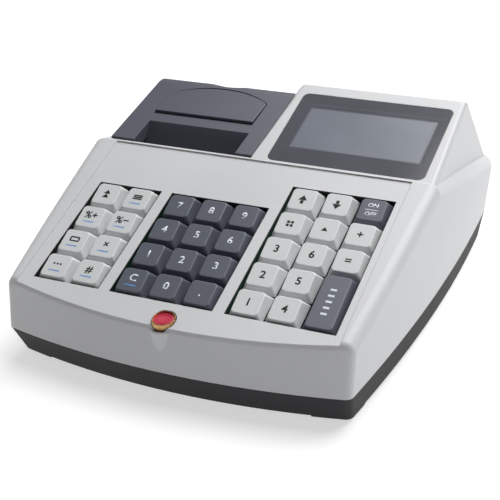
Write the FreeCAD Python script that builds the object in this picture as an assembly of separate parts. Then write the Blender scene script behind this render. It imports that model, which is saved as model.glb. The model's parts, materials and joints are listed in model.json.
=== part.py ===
import FreeCAD, Part
import math
import os

V = FreeCAD.Vector
Rotation = FreeCAD.Rotation
Placement = FreeCAD.Placement

# Ticket register. Millimetres, X to the right, Y to the back, Z up.
# The origin is on the table, under the middle of the case.

# Case outline, seen from above
case_depth = 260.0
half_front = 95.4
half_middle = 105.0
half_rear = 102.0
middle_y = 8.0
front_bow = 11.0
front_corner_r = 4.5
rear_corner_r = 24.0
long_nose = 20.0
rear_flare_deg = 7.0
wall = 2.5
overrun = 60.0
bite = 1.0

# Case heights and slopes
foot_proud = 2.0
tray_height = 17.0
seam_z = foot_proud + tray_height
front_lean_deg = 8.0
panel_slope_deg = 18.0
wells_y = -111.0
panel_z = 47.5
peak_y = -5.0
cheek_rise = 0.8
cheek_fall_deg = 13.6
cheek_round = 6.5
panel_half = 88.8

# Display hood
hood_left = -4.6
hood_right = 101.0
hood_slope_deg = 17.0
hood_back_y = 67.0
hood_back_deg = 48.0
hood_sunk = 32.0
hood_lean_share = 0.059
hood_taper_share = 0.019
hood_left_cut = 4.2
hood_bevel_reach = 10.0
hood_edge_round = 2.5

# Printer housing and its cover
printer_left = -95.0
printer_slope_deg = 12.5
printer_front_y = -1.0
shoulder_y = 70.5
shoulder_round = 16.0
printer_back_deg = 55.0
printer_sunk = 30.0
cover_thick = 2.4
cover_gap = 0.3
cover_side_gap = 0.4
barrel_r = 5.0
barrel_drop = 13.0
barrel_clear = 1.4
trunnion_r = 1.5
trunnion_clear = 0.05
trunnion_depth = 1.6
strip_start = 5.2
slot_left = -80.0
slot_right = -15.5
slot_back_y = 19.0
chute_deg = 60.0
chute_length = 14.0
chute_thick = 1.6
chute_cheek_drop = 6.0
lever_left = -81.0
lever_right = -17.5
lever_front_y = 28.5
lever_side_y = 50.0
lever_back_y = 60.0
lever_corner_r = 4.0
lever_thick = 2.2
lever_lift = 1.5
lever_seam = 0.4
lever_front_gap = 1.3
lever_back_gap = 0.8
lever_axis_y = 47.0
lever_axis_drop = 2.6
lever_pin_r = 1.2
lever_pin_length = 1.6
lever_pin_end = 0.3
lever_lug_r = 2.2
lever_lug_thick = 1.5
lever_well_depth = 7.5
lever_edge_round = 0.4
well_floor = 1.5
scoop_r = 50.0
scoop_depth = 1.3
scoop_x = -50.5
skirt_thick = 1.5
skirt_drop = 4.0

# Keyboard
pitch = 19.05
block_gap = 6.8
keyboard_shift = 1.8
block_columns = (2, 3, 3)
block_rows = (4, 4, 5)
well_fit = 0.12
lip_thick = 0.6
rebate = 0.9
key_gap = 0.75
key_base_w = -3.8
key_front_w = 1.0
key_back_w = 2.9
key_side_inset = 2.3
key_front_inset = 1.1
key_back_inset = 3.1
key_base_round = 0.8
key_top_round = 2.4
key_edge_round = 0.7
key_wall = 1.4
key_travel = 3.0
stem_r = 2.2
stem_clear = 0.3
stem_grip = 2.3
plate_w = -8.8
plate_thick = 1.4
rim_thick = 0.7
rim_clear = 0.1
switch_size = 13.6
switch_fit = 0.2
switch_w = -7.2
stem_floor_gap = 0.5
board_w = switch_w - stem_grip - key_travel - stem_floor_gap
board_thick = 1.6
board_margin = 2.2
board_leg_r = 1.6

# Seal cup at the front
seal_y = -121.5
seal_z = 45.2
seal_lean_deg = 7.0
seal_r = 6.3
seal_height = 5.2
seal_wall = 0.9
seal_floor = 1.2
seal_proud = 4.2
wax_drop = 0.9
seal_fit = 0.05
boss_wall = 1.1
boss_length = 16.0
boss_lean_deg = 4.0
boss_forward = 0.5

# Display window and module
window_left = 3.9
window_width = 89.9
window_front_v = 2.8
window_height = 63.2
window_thick = 1.5
window_gap = 0.15
window_round = 4.0
window_ledge = 4.0
module_thick = 6.5
module_margin = 1.0
customer_width = 74.0
customer_height = 25.0
customer_module_thick = 5.0
customer_place_share = 0.42
face_inset = 3.0
face_step = 0.4

# Base tray
tray_front_inset = 8.0
tray_side_inset = 2.6
tray_rear_inset = 3.0
tray_floor = 2.5
pad_size = 16.0
pad_step = 1.0
spigot_height = 2.0
spigot_thick = 1.2
spigot_foot = 3.0
seam_fit = 0.15

# Feet and screws
foot_r = 7.0
foot_inset_x = 82.0
foot_front_y = -104.0
foot_back_y = 113.0
foot_seat = 0.8
post_r = 2.3
post_hole_r = 1.3
tray_boss_r = 4.6
post_low_z = 25.0
screw_seat = 4.0
front_post_y = -78.0
rear_post_x = 90.0
rear_post_y = 92.0
screw_r = 1.28
screw_head_r = 2.8
screw_head_height = 1.8
screw_length = 12.0
screw_hole_r = 1.6
screw_recess_r = 3.2

# Printer mechanism
paper_left = -79.5
paper_right = -19.5
bucket_r = 24.5
bucket_y = 40.0
bucket_z = 58.0
bucket_wall = 1.5
bucket_front_z = 58.0
bucket_top_z = 72.0
frame_front_y = -0.3
frame_bar = 2.8
frame_lip_z = 79.0
frame_lip_in = 0.6
frame_top_z = 74.4
frame_bar_z = 54.0
frame_corner_share = 0.7
frame_tail_y = 66.0
frame_foot_size = 8.0
frame_foot_in = 5.5
frame_foot_y = 40.0
platen_y = 10.4
platen_z = 68.0
platen_r = 5.0
platen_shaft_r = 1.5
platen_end_gap = 1.0
bearing_clear = 0.04
gear_module = 0.6
platen_teeth = 20
idler_teeth = 24
pinion_teeth = 12
gear_width = 3.0
gear_gap = 0.8
gear_root = 0.75
gear_tip = 0.55
tooth_root_share = 0.23
tooth_tip_share = 0.10
idler_pin_r = 1.2
idler_collar_r = 2.2
idler_collar = 0.5
idler_head = 0.6
motor_r = 6.5
motor_length = 16.0
motor_shaft_r = 0.8
head_gap = 0.3
head_height = 19.0
head_rise = 7.0
tear_thick = 0.6
tear_height = 7.0
tear_drop = 0.5
tear_pitch = 1.5
tear_depth = 0.8

half_share = 0.5

# Boards and sockets
main_left = -76.0
main_right = 76.0
main_front_y = -20.0
main_back_y = 124.0
main_z = 15.6
board_edge_in = 6.0
main_thick = 1.6
standoff_r = 3.0
chip_size = 14.0
chip_height = 1.6
cell_r = 10.0
cell_height = 3.4
socket_depth = 15.0
socket_height = 13.0
socket_back_y = 125.6
socket_rise = 1.0
socket_fit = 1.2
socket_x = (-58.0, -34.0, 52.0)
socket_width = (14.5, 16.0, 11.0)
jack_width = (9.8, 11.8)
jack_height = 6.8
jack_depth = 11.0
inlet_r = 3.3
inlet_depth = 10.0
inlet_pin_r = 1.0
inlet_pin_length = 5.0


def tan(deg):
    return math.tan(math.radians(deg))


def sin(deg):
    return math.sin(math.radians(deg))


def cos(deg):
    return math.cos(math.radians(deg))


half_depth = case_depth / 2
roof_z = seam_z + 2 * overrun


def panel_at(y):
    """Height of the keyboard panel at a depth."""
    return panel_z + (y - wells_y) * tan(panel_slope_deg)


peak_z = panel_at(peak_y)


def hood_at(y):
    """Height of the display face at a depth."""
    return peak_z + (y - peak_y) * tan(hood_slope_deg)


def printer_at(y):
    """Height of the printer cover's flat top at a depth."""
    return panel_at(printer_front_y) + (y - printer_front_y) * tan(printer_slope_deg)


def cheek_at(y):
    """Height of the case top behind the peak."""
    return peak_z + cheek_rise - (y - peak_y) * tan(cheek_fall_deg)


barrel_y = (shoulder_y + barrel_drop * cos(printer_back_deg)
            - barrel_r * sin(printer_back_deg))
barrel_z = (printer_at(shoulder_y) - barrel_drop * sin(printer_back_deg)
            - barrel_r * cos(printer_back_deg))
lever_axis_z = printer_at(lever_axis_y) - lever_axis_drop
printer_right = hood_left - cover_side_gap
printer_middle = (lever_left + lever_right) / 2


def block(x0, y0, z0, x1, y1, z1):
    """Box between two corners."""
    return Part.makeBox(x1 - x0, y1 - y0, z1 - z0, V(x0, y0, z0))


def rod(r, length, start, along):
    """Round bar from a point in a direction."""
    return Part.makeCylinder(r, length, start, along)


def prism_x(points, x0, x1):
    """Prism along X over a closed outline of (y, z) points."""
    corners = [V(x0, y, z) for y, z in points]
    face = Part.Face(Part.makePolygon(corners + corners[:1]))
    return face.extrude(V(x1 - x0, 0, 0))


def prism_z(points, z0, z1):
    """Prism along Z over a closed outline of (x, y) points."""
    corners = [V(x, y, z0) for x, y in points]
    face = Part.Face(Part.makePolygon(corners + corners[:1]))
    return face.extrude(V(0, 0, z1 - z0))


def rounded_box(x0, y0, z0, x1, y1, z1, r):
    """Box whose four upright edges are round."""
    body = block(x0, y0, z0, x1, y1, z1)
    upright = [e for e in body.Edges if abs(e.tangentAt(e.FirstParameter).z) > half_share]
    return body.makeFillet(r, upright)


def rounded_ring(x0, y0, x1, y1, z, r, lift):
    """Closed round-cornered outline; its height grows with y by lift."""
    quarter = r - r * math.sqrt(half_share)

    def at(x, y):
        return V(x, y, z + lift * (y - y0))

    edges = [
        Part.LineSegment(at(x0 + r, y0), at(x1 - r, y0)).toShape(),
        Part.Arc(at(x1 - r, y0), at(x1 - quarter, y0 + quarter), at(x1, y0 + r)).toShape(),
        Part.LineSegment(at(x1, y0 + r), at(x1, y1 - r)).toShape(),
        Part.Arc(at(x1, y1 - r), at(x1 - quarter, y1 - quarter), at(x1 - r, y1)).toShape(),
        Part.LineSegment(at(x1 - r, y1), at(x0 + r, y1)).toShape(),
        Part.Arc(at(x0 + r, y1), at(x0 + quarter, y1 - quarter), at(x0, y1 - r)).toShape(),
        Part.LineSegment(at(x0, y1 - r), at(x0, y0 + r)).toShape(),
        Part.Arc(at(x0, y0 + r), at(x0 + quarter, y0 + quarter), at(x0 + r, y0)).toShape(),
    ]
    return Part.Wire(edges)


def on_panel(shape):
    """Move a shape drawn on a flat keyboard (x, v, w) on to the sloped panel."""
    place = Placement(V(0, wells_y, panel_z), Rotation(V(1, 0, 0), panel_slope_deg))
    moved = shape.copy()
    moved.Placement = place.multiply(moved.Placement)
    return moved


def on_hood(shape):
    """Move a shape drawn flat (x, v, w) on to the display face."""
    place = Placement(V(0, peak_y, peak_z), Rotation(V(1, 0, 0), hood_slope_deg))
    moved = shape.copy()
    moved.Placement = place.multiply(moved.Placement)
    return moved


def on_cover(shape):
    """Move a shape drawn flat (x, v, w) on to the printer cover's top."""
    start = V(0, printer_front_y, printer_at(printer_front_y))
    place = Placement(start, Rotation(V(1, 0, 0), printer_slope_deg))
    moved = shape.copy()
    moved.Placement = place.multiply(moved.Placement)
    return moved


def on_hood_back(shape):
    """Move a shape drawn flat (x, v, w) on to the sloped back of the hood.

    Here v runs down the back and w points out of it."""
    start = V(0, hood_back_y, hood_at(hood_back_y))
    place = Placement(start, Rotation(V(1, 0, 0), -hood_back_deg))
    moved = shape.copy()
    moved.Placement = place.multiply(moved.Placement)
    return moved


# Outline of the case

def plan_edges(z, inset, front_in, side_in, rear_in):
    """Sharp-cornered outline of the case from above, at one height."""
    front = -half_depth + inset + front_in
    rear = half_depth - inset - rear_in
    side = inset + side_in
    corner_y = front + front_bow
    rear_side = half_rear - side
    return Part.Wire([
        Part.Arc(V(-half_front + side, corner_y, z), V(0, front, z),
                 V(half_front - side, corner_y, z)).toShape(),
        Part.Arc(V(half_front - side, corner_y, z), V(half_middle - side, middle_y, z),
                 V(rear_side, rear, z)).toShape(),
        Part.LineSegment(V(rear_side, rear, z), V(-rear_side, rear, z)).toShape(),
        Part.Arc(V(-rear_side, rear, z), V(-half_middle + side, middle_y, z),
                 V(-half_front + side, corner_y, z)).toShape(),
    ])


def round_x(circle, y):
    """Half width on a side's circle at a depth."""
    run = (circle.Radius ** 2 - (y - circle.Center.y) ** 2) ** half_share
    return circle.Center.x + (run if circle.Center.x < half_front else -run)


def long_edges(z, inset, rear_out):
    """Outline like plan_edges, but drawn out straight past the front."""
    rear = half_depth - inset
    start = -half_depth - long_nose
    rear_side = half_rear - inset + rear_out
    side = Part.Arc(V(half_front - inset, -half_depth + inset + front_bow, z),
                    V(half_middle - inset, middle_y, z), V(rear_side, rear, z))
    half = round_x(side.toShape().Curve, start)
    middle = half_middle - inset
    return Part.Wire([
        Part.LineSegment(V(-half, start, z), V(half, start, z)).toShape(),
        Part.Arc(V(half, start, z), V(middle, middle_y, z), V(rear_side, rear, z)).toShape(),
        Part.LineSegment(V(rear_side, rear, z), V(-rear_side, rear, z)).toShape(),
        Part.Arc(V(-rear_side, rear, z), V(-middle, middle_y, z), V(-half, start, z)).toShape(),
    ])


def front_room(inset, low):
    """All the room behind the bowed, leaning front."""
    def outline(z):
        front = -half_depth + inset + (z - seam_z) * tan(front_lean_deg)
        half = half_front - inset
        ends = [V(x, front + front_bow, z) for x in (-half, half)]
        curve = Part.Arc(ends[0], V(0, front, z), ends[1]).toShape().Curve
        far = half_middle + long_nose
        drop = (curve.Radius ** 2 - far ** 2) ** half_share
        end_y = curve.Center.y - drop
        return Part.Wire([
            Part.Arc(V(-far, end_y, z), V(0, front, z), V(far, end_y, z)).toShape(),
            Part.LineSegment(V(far, end_y, z), V(far, case_depth, z)).toShape(),
            Part.LineSegment(V(far, case_depth, z), V(-far, case_depth, z)).toShape(),
            Part.LineSegment(V(-far, case_depth, z), V(-far, end_y, z)).toShape(),
        ])

    return Part.makeLoft([outline(low - bite), outline(roof_z)], True, True)


def upright_edges(body, front):
    """The two corner edges of a case form at its front or its back."""
    found = []
    for edge in body.Edges:
        ends = [v.Point for v in edge.Vertexes]
        if len(ends) < 2 or abs(ends[0].z - ends[1].z) < wall:
            continue
        middle = (ends[0] + ends[1]) / 2
        if (middle.y < 0) == front and abs(middle.x) > half_front / 2:
            found.append(edge)
    return found


def tent_top(y, top):
    """Height of the tent-shaped case top at a depth."""
    if y < peak_y:
        return top - (peak_y - y) * tan(panel_slope_deg)
    return top - (y - peak_y) * tan(cheek_fall_deg)


def rim_edges(body, top):
    """Edges where the tent-shaped top meets the side and rear walls."""
    corner_y = -half_depth - long_nose / 2
    found = []
    for edge in body.Edges:
        middle = edge.valueAt((edge.FirstParameter + edge.LastParameter) / 2)
        points = [v.Point for v in edge.Vertexes] + [middle]
        low = [p for p in points if abs(p.z - tent_top(p.y, top)) > seam_fit]
        if not low and abs(middle.y - peak_y) > bite and middle.y > corner_y:
            found.append(edge)
    return found


def lower_form(inset):
    """The case up to its tent-shaped top, before the raised back is added."""
    low = seam_z - (inset > 0) * bite
    rise = roof_z - seam_z
    flare = tan(rear_flare_deg)
    body = Part.makeLoft([long_edges(low, inset, (low - seam_z) * flare),
                          long_edges(roof_z, inset, rise * flare)], True, True)
    body = body.makeFillet(rear_corner_r - inset, upright_edges(body, False))
    top = peak_z + cheek_rise - inset
    far = half_depth + overrun
    tent = prism_x([(-far, low - overrun), (-far, tent_top(-far, top)), (peak_y, top),
                    (far, tent_top(far, top)), (far, low - overrun)],
                   -half_middle - overrun, half_middle + overrun)
    body = body.common(tent)
    body = body.makeFillet(cheek_round - inset, rim_edges(body, top))
    body = body.common(front_room(inset, low))
    face = min(body.Faces, key=lambda f: f.CenterOfMass.y)
    frame = [e for e in face.Edges if e.BoundBox.ZMax > low + bite]
    return body.makeFillet(front_corner_r - inset / 2, frame)


def hood_side(y, z):
    """Distance of the hood's right side from the middle plane."""
    return hood_right - hood_lean_share * (z - peak_z) - hood_taper_share * (y - peak_y)


def hood_outline(inset):
    """Side view of the hood as (y, z) points, front first."""
    low = peak_z - hood_sunk
    back_run = (hood_at(hood_back_y) - low) / tan(hood_back_deg)
    front = peak_y + inset
    top_in = inset / cos(hood_slope_deg)
    back_in = inset / sin(hood_back_deg)
    slope = tan(hood_slope_deg)
    fall = tan(hood_back_deg)
    ridge_y = hood_back_y - (back_in * fall - top_in) / (slope + fall)
    return [
        (front, low),
        (front, hood_at(front) - top_in),
        (ridge_y, hood_at(ridge_y) - top_in),
        (hood_back_y + back_run - back_in, low),
    ]


def hood_form(inset):
    """The raised display hood."""
    points = hood_outline(inset)
    left = [V(hood_left + inset, y, z) for y, z in points]
    right = [V(hood_side(y, z) - inset, y, z) for y, z in points]
    body = Part.makeLoft([Part.makePolygon(left + left[:1]), Part.makePolygon(right + right[:1])],
                         True, True)
    edges = []
    for edge in body.Edges:
        a, b = [v.Point for v in edge.Vertexes]
        if min(a.z, b.z) > peak_z - hood_sunk + bite and abs(a.x - b.x) < half_front and a.x > 0:
            edges.append(edge)
        if abs(a.z - b.z) < wall and a.z > peak_z + wall * 2:
            edges.append(edge)
    if inset == 0:
        body = body.makeFillet(hood_edge_round, edges)
    bevel = hood_left_bevel()
    bevel.translate(V(inset, 0, 0))
    return body.cut(bevel)


def hood_left_bevel():
    """Sloped cut along the hood's left edge, wider towards the back."""
    reach = hood_bevel_reach
    start = hood_left - bite

    def corner(y, width):
        low = V(start, y, printer_at(y))
        high = V(start, y, hood_at(y) + reach)
        over = V(hood_left + width * (y - peak_y) / (hood_back_y - peak_y)
                 + reach * width / hood_left_cut, y, hood_at(y) + reach)
        foot = V(hood_left, y, printer_at(y))
        return Part.makePolygon([low, high, over, foot, low])

    return Part.makeLoft([corner(peak_y - bite, hood_left_cut),
                          corner(hood_back_y + reach, hood_left_cut)], True, True)


def printer_outline(inset):
    """Side view of the printer housing under its cover, as (y, z) points."""
    fall = tan(printer_back_deg)
    slope = tan(printer_slope_deg)
    top_in = inset / cos(printer_slope_deg)
    back_in = inset / sin(printer_back_deg)
    front = printer_front_y + inset
    ridge_y = shoulder_y - (back_in * fall - top_in) / (slope + fall)
    low = peak_z - printer_sunk
    low_y = shoulder_y + (printer_at(shoulder_y) - low) / fall - back_in
    return [
        (front, low),
        (front, printer_at(front) - top_in),
        (ridge_y, printer_at(ridge_y) - top_in),
        (low_y, low),
    ]


def printer_form(inset, left_in=0.0, right=None):
    """The raised printer housing, with the shoulder round at its back."""
    right = printer_right if right is None else right
    body = prism_x(printer_outline(inset), printer_left + left_in, right)
    shoulder = []
    for edge in body.Edges:
        box = edge.BoundBox
        if box.XLength > shoulder_round and box.ZMin > printer_at(0) + wall:
            shoulder.append(edge)
    return body.makeFillet(shoulder_round - inset, shoulder)


def barrel(r, x0, x1):
    """Bar about the printer cover's hinge axis."""
    return rod(r, x1 - x0, V(x0, barrel_y, barrel_z), V(1, 0, 0))


def slope_box(x0, x1, t0, t1, n0, n1):
    """Box in the frame of the printer housing's back slope.

    t runs up the slope from the hinge axis and n points out of it."""
    body = block(x0, n0, t0, x1, n1, t1)
    body.Placement = Placement(V(0, barrel_y, barrel_z),
                               Rotation(V(1, 0, 0), 90 - printer_back_deg))
    return body


# Pieces of the case

def block_edges():
    """Left and right edge and row count of each key block."""
    total = sum(block_columns) * pitch + block_gap * (len(block_columns) - 1)
    x = keyboard_shift - total / 2
    edges = []
    for columns, rows in zip(block_columns, block_rows):
        edges.append((x, x + columns * pitch, rows))
        x += columns * pitch + block_gap
    return edges


def well_cut(grow, w0, w1):
    """The three key wells, drawn flat."""
    cuts = []
    for x0, x1, rows in block_edges():
        cuts.append(block(x0 + well_fit / 2 - grow, -grow, w0,
                          x1 - well_fit / 2 + grow, rows * pitch + grow, w1))
    return cuts


def window_cut(grow, w0, w1):
    """Round-cornered window opening in the frame of the display face."""
    return rounded_box(window_left - grow, window_front_v - grow, w0,
                       window_left + window_width + grow,
                       window_front_v + window_height + grow, w1,
                       max(window_round + grow, window_gap))


def hood_back_length():
    """Length of the hood's back slope above the case top."""
    return (hood_at(hood_back_y) - cheek_at(half_depth)) / sin(hood_back_deg)


def customer_cut(grow, w0, w1):
    """Window opening in the frame of the hood's back slope."""
    x = (hood_left + hood_right) / 2
    v = hood_back_length() * customer_place_share
    return rounded_box(x - customer_width / 2 - grow, v - customer_height / 2 - grow, w0,
                       x + customer_width / 2 + grow, v + customer_height / 2 + grow, w1,
                       max(window_round / 2 + grow, window_gap))


def post_places():
    """Screw places (x, y): two between the key blocks, two at the back."""
    edges = block_edges()
    gaps = [(a[1] + b[0]) / 2 for a, b in zip(edges, edges[1:])]
    return [(x, front_post_y) for x in gaps] + [(-rear_post_x, rear_post_y), (rear_post_x, rear_post_y)]


def seal_frame(shape):
    """Move a shape drawn about Z, top at zero, on to the seal cup's place."""
    moved = shape.copy()
    moved.Placement = Placement(V(0, seal_y, seal_z), Rotation(V(1, 0, 0), seal_lean_deg))
    return moved


def bay_cut():
    """The open paper bay under the printer cover."""
    low = bucket_bottom_z()
    high = roof_z
    front = printer_front_y - cover_side_gap
    reach = overrun * sin(printer_back_deg)
    rise = overrun * cos(printer_back_deg)
    return prism_x([(front, low), (barrel_y, low), (barrel_y, barrel_z),
                    (barrel_y + reach, barrel_z + rise), (barrel_y + reach, high), (front, high)],
                   printer_left + wall, hood_left)


def bucket_bottom_z():
    """Underside of the paper bucket."""
    return bucket_z - bucket_r - bucket_wall


def jack_z():
    """Height of the rear sockets' middle."""
    return main_z + main_thick + socket_height / 2 + socket_rise


def socket_cuts(grow, start_y, depth):
    """Openings of the two data sockets and of the power inlet."""
    cuts = []
    for x, width in zip(socket_x, jack_width):
        cuts.append(block(x - width / 2 - grow, start_y, jack_z() - jack_height / 2 - grow,
                          x + width / 2 + grow, start_y + depth, jack_z() + jack_height / 2 + grow))
    cuts.append(rod(inlet_r + grow, depth, V(socket_x[-1], start_y, jack_z()), V(0, 1, 0)))
    return cuts


def top_cover():
    """Upper case with the keyboard panel, hood and printer housing."""
    under = cover_thick + cover_gap
    tail = slope_box(printer_left, hood_left, -case_depth, 0, -case_depth, case_depth)
    flush = printer_form(0, 0, hood_left).common(tail)
    knuckle = barrel(barrel_r, printer_left, printer_left + wall)
    outer = lower_form(0).fuse([hood_form(0), printer_form(under, 0, hood_left), flush, knuckle])
    inner = lower_form(wall).fuse([hood_form(wall), printer_form(wall, wall, hood_left)])
    swing = barrel(barrel_r + barrel_clear, printer_left + wall, hood_left)
    body = outer.cut([inner, bay_cut(), swing])
    body = body.cut(cover_room())
    pins = [rod(trunnion_r + trunnion_clear, trunnion_depth, V(printer_left + wall, barrel_y, barrel_z),
                V(-1, 0, 0)),
            rod(trunnion_r + trunnion_clear, trunnion_depth, V(hood_left, barrel_y, barrel_z),
                V(1, 0, 0))]
    return finish_case(body.cut(pins), outer)


def cover_room():
    """Clearance for the cover's left edge where the case top rises beside it."""
    front = printer_front_y - cover_side_gap
    under = cover_thick + cover_gap
    back = shoulder_y
    return prism_x([(front, printer_at(front) - under / cos(printer_slope_deg)),
                    (back, printer_at(back) - under / cos(printer_slope_deg)),
                    (back, roof_z), (front, roof_z)],
                   printer_left - cover_side_gap, hood_left)


def finish_case(body, outer):
    """Cut the panel, wells, windows and sockets, and add the bosses."""
    back_v = (peak_y - wells_y) / cos(panel_slope_deg)
    panel = block(-panel_half, -overrun, 0, panel_half, back_v, overrun)
    cuts = [panel] + well_cut(0, -wall - bite, bite) + well_cut(rebate, -wall - bite, -lip_thick)
    body = body.cut([on_panel(c) for c in cuts])
    front = window_cut(window_gap, -window_thick, bite).fuse(
        window_cut(-window_ledge, -wall - bite, bite))
    back = customer_cut(window_gap, -window_thick, bite).fuse(
        customer_cut(-window_ledge, -wall - bite, bite))
    body = body.cut(on_hood(front)).cut(on_hood_back(back))
    body = body.cut(socket_cuts(socket_fit, half_depth - wall - bite, wall + bite * 2))
    boss = rod(seal_r + boss_wall, boss_length, V(0, 0, -seal_proud - boss_length), V(0, 0, 1))
    boss.Placement = Placement(V(0, seal_y - boss_forward, seal_z), Rotation(V(1, 0, 0), boss_lean_deg))
    seat = seal_frame(rod(seal_r + seal_fit, seal_height, V(0, 0, -seal_height), V(0, 0, 1)))
    posts = []
    holes = []
    for x, y in post_places():
        post = rod(post_r, roof_z, V(x, y, post_low_z), V(0, 0, 1))
        posts.append(post.common(outer).cut(on_panel(panel)))
        holes.append(rod(post_hole_r, screw_length, V(x, y, post_low_z), V(0, 0, 1)))
    return body.fuse([boss] + posts).cut([seat] + holes)


def printer_cover():
    """Hinged lid of the printer with its slot, chute and lever well."""
    outer = printer_form(0, 0, printer_right)
    inner_solid = printer_form(cover_thick, 0, printer_right)
    front_room = prism_x([(printer_front_y - bite, seam_z - bite),
                          (printer_front_y + cover_thick + bite, seam_z - bite),
                          (printer_front_y + cover_thick + bite,
                           cover_under(printer_front_y + cover_thick + bite)),
                          (printer_front_y - bite, cover_under(printer_front_y - bite))],
                         printer_left, printer_right)
    reach = case_depth
    tail = slope_box(printer_left - bite, printer_right + bite, -reach, 0, -reach, reach)
    plate = outer.cut([inner_solid, front_room, tail])
    knuckle_room = slope_box(printer_left - bite, printer_left + wall + cover_side_gap, -reach,
                             strip_start, -reach, reach)
    plate = plate.cut(knuckle_room)
    left = printer_left + wall + cover_side_gap
    skirt_in = printer_form(cover_thick + skirt_drop, 0, printer_right)
    band = inner_solid.cut([skirt_in, tail, front_room_below()])
    skirts = [band.common(block(left, -reach, 0, left + skirt_thick, reach, roof_z)),
              band.common(block(printer_right - skirt_thick, -reach, 0, printer_right, reach, roof_z))]
    trunnions = [rod(trunnion_r, trunnion_depth, V(left, barrel_y, barrel_z), V(-1, 0, 0)),
                 rod(trunnion_r, trunnion_depth, V(printer_right, barrel_y, barrel_z), V(1, 0, 0))]
    body = plate.fuse(skirts + [barrel(barrel_r, left, printer_right)] + trunnions)
    body = body.cut([slot_cut(), scoop_cut()]).fuse(chute())
    well = on_cover(lever_outline(lever_seam + well_floor, -lever_well_depth - well_floor, -cover_thick / 2))
    room = on_cover(lever_outline(lever_seam, -lever_well_depth, overrun))
    body = body.fuse(well).cut(room)
    pin = rod(lever_pin_r + bearing_clear, lever_right - lever_left + lever_pin_length * 2
              + lever_pin_end * 2,
              V(lever_left - lever_pin_length - lever_pin_end, lever_axis_y, lever_axis_z), V(1, 0, 0))
    return body.cut(pin)


def cover_under(y):
    """Height of the cover plate's underside."""
    return printer_at(y) - cover_thick / cos(printer_slope_deg)


def front_room_below():
    """Keeps the skirts clear of the case's front edge."""
    y = printer_front_y + cover_thick + skirt_drop
    return block(printer_left, -case_depth, 0, printer_right, y, roof_z)


def slot_cut():
    """The ticket slot through the cover, open at the front."""
    top = printer_at(slot_back_y)
    run = overrun * cos(chute_deg)
    rise = overrun * sin(chute_deg)
    front = printer_front_y - bite
    return prism_x([(front, top - rise), (slot_back_y - run, top - rise),
                    (slot_back_y + run, top + rise), (front, top + rise)], slot_left, slot_right)


def chute():
    """Sloped rear wall of the slot and its two end cheeks."""
    top = printer_at(slot_back_y) - cover_thick / 2
    start = slot_back_y - (cover_thick / 2) / tan(chute_deg)
    low_y = slot_back_y - chute_length * cos(chute_deg)
    low_z = printer_at(slot_back_y) - chute_length * sin(chute_deg)
    side_y = chute_thick * sin(chute_deg)
    side_z = chute_thick * cos(chute_deg)
    plate = prism_x([(start, top), (low_y, low_z), (low_y + side_y, low_z - side_z),
                     (start + side_y, top - side_z)], slot_left - chute_thick, slot_right + chute_thick)
    pieces = [plate]
    drop = chute_cheek_drop + cover_thick
    half = cover_thick / 2
    front = printer_front_y + cover_thick
    for x in (slot_left - chute_thick, slot_right):
        pieces.append(prism_x([(front, printer_at(front) - drop), (front, printer_at(front) - half),
                               (start, top), (slot_back_y - drop / tan(chute_deg),
                                              printer_at(slot_back_y) - drop)],
                              x, x + chute_thick))
    return pieces


def scoop_cut():
    """Shallow finger hollow behind the lever."""
    turn = (printer_back_deg - printer_slope_deg) / 2
    bend = (printer_back_deg + printer_slope_deg) / 2
    cut_in = shoulder_round / cos(bend) - shoulder_round
    reach = scoop_r - scoop_depth - cut_in
    centre = V(scoop_x, shoulder_y + reach * sin(turn), printer_at(shoulder_y) + reach * cos(turn))
    return Part.makeSphere(scoop_r, centre)


def lever_outline(grow, w0, w1):
    """The lever's outline in the frame of the cover's top, grown all round."""
    def v(y):
        return (y - printer_front_y) / cos(printer_slope_deg)

    front_gap = (grow > 0) * (lever_front_gap - lever_seam)
    back_gap = (grow > 0) * (lever_back_gap - lever_seam)
    front = v(lever_front_y) - grow - front_gap
    side = v(lever_side_y) + back_gap
    back = v(lever_back_y) + grow + back_gap
    left = lever_left - grow
    right = lever_right + grow
    rear = Part.Arc(V(right, side, w0), V(printer_middle, back, w0), V(left, side, w0)).toShape()
    sides = Part.makePolygon([V(left, side, w0), V(left, front, w0), V(right, front, w0), V(right, side, w0)])
    body = Part.Face(Part.Wire([rear] + sides.Edges)).extrude(V(0, 0, w1 - w0))
    corners = [e for e in body.Edges if e.BoundBox.ZLength > e.BoundBox.XLength + e.BoundBox.YLength
               and e.BoundBox.YMin > front + bite]
    return body.makeFillet(lever_corner_r + grow, corners)


def release_lever():
    """Pad that unlatches the printer cover, raised along its front edge."""
    def v(y):
        return (y - printer_front_y) / cos(printer_slope_deg)

    front = v(lever_front_y)
    back = v(lever_back_y)
    body = lever_outline(0, -lever_thick - lever_lift, lever_lift * 2)
    wedge = prism_x([(front - bite, lever_lift - lever_thick), (front - bite, lever_lift),
                     (back + bite, 0), (back + bite, -lever_thick)], lever_left - bite, lever_right + bite)
    body = body.common(wedge)
    edges = [e for e in body.Edges if e.BoundBox.ZMin > lever_lift - seam_fit
             or (e.BoundBox.YMax < v(lever_side_y) + bite and e.BoundBox.YLength > bite
                 and e.BoundBox.ZMin > -lever_edge_round)]
    body = on_cover(body.makeFillet(lever_edge_round, edges))
    pieces = []
    for x, along in ((lever_left, 1), (lever_right, -1)):
        centre = V(x, lever_axis_y, lever_axis_z)
        pieces.append(rod(lever_lug_r, lever_lug_thick, centre, V(along, 0, 0)))
        pieces.append(rod(lever_pin_r, lever_pin_length, centre, V(-along, 0, 0)))
    return body.fuse(pieces)


# Keyboard

def key_places():
    """Name, block, column, row and height in rows of every key."""
    places = []
    for name_row, (block_index, row) in key_rows:
        for column, name in enumerate(name_row):
            if name:
                places.append((name, block_index, column, row, 1))
    places.append(("key_total", 2, 2, 0, 2))
    return places


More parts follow.
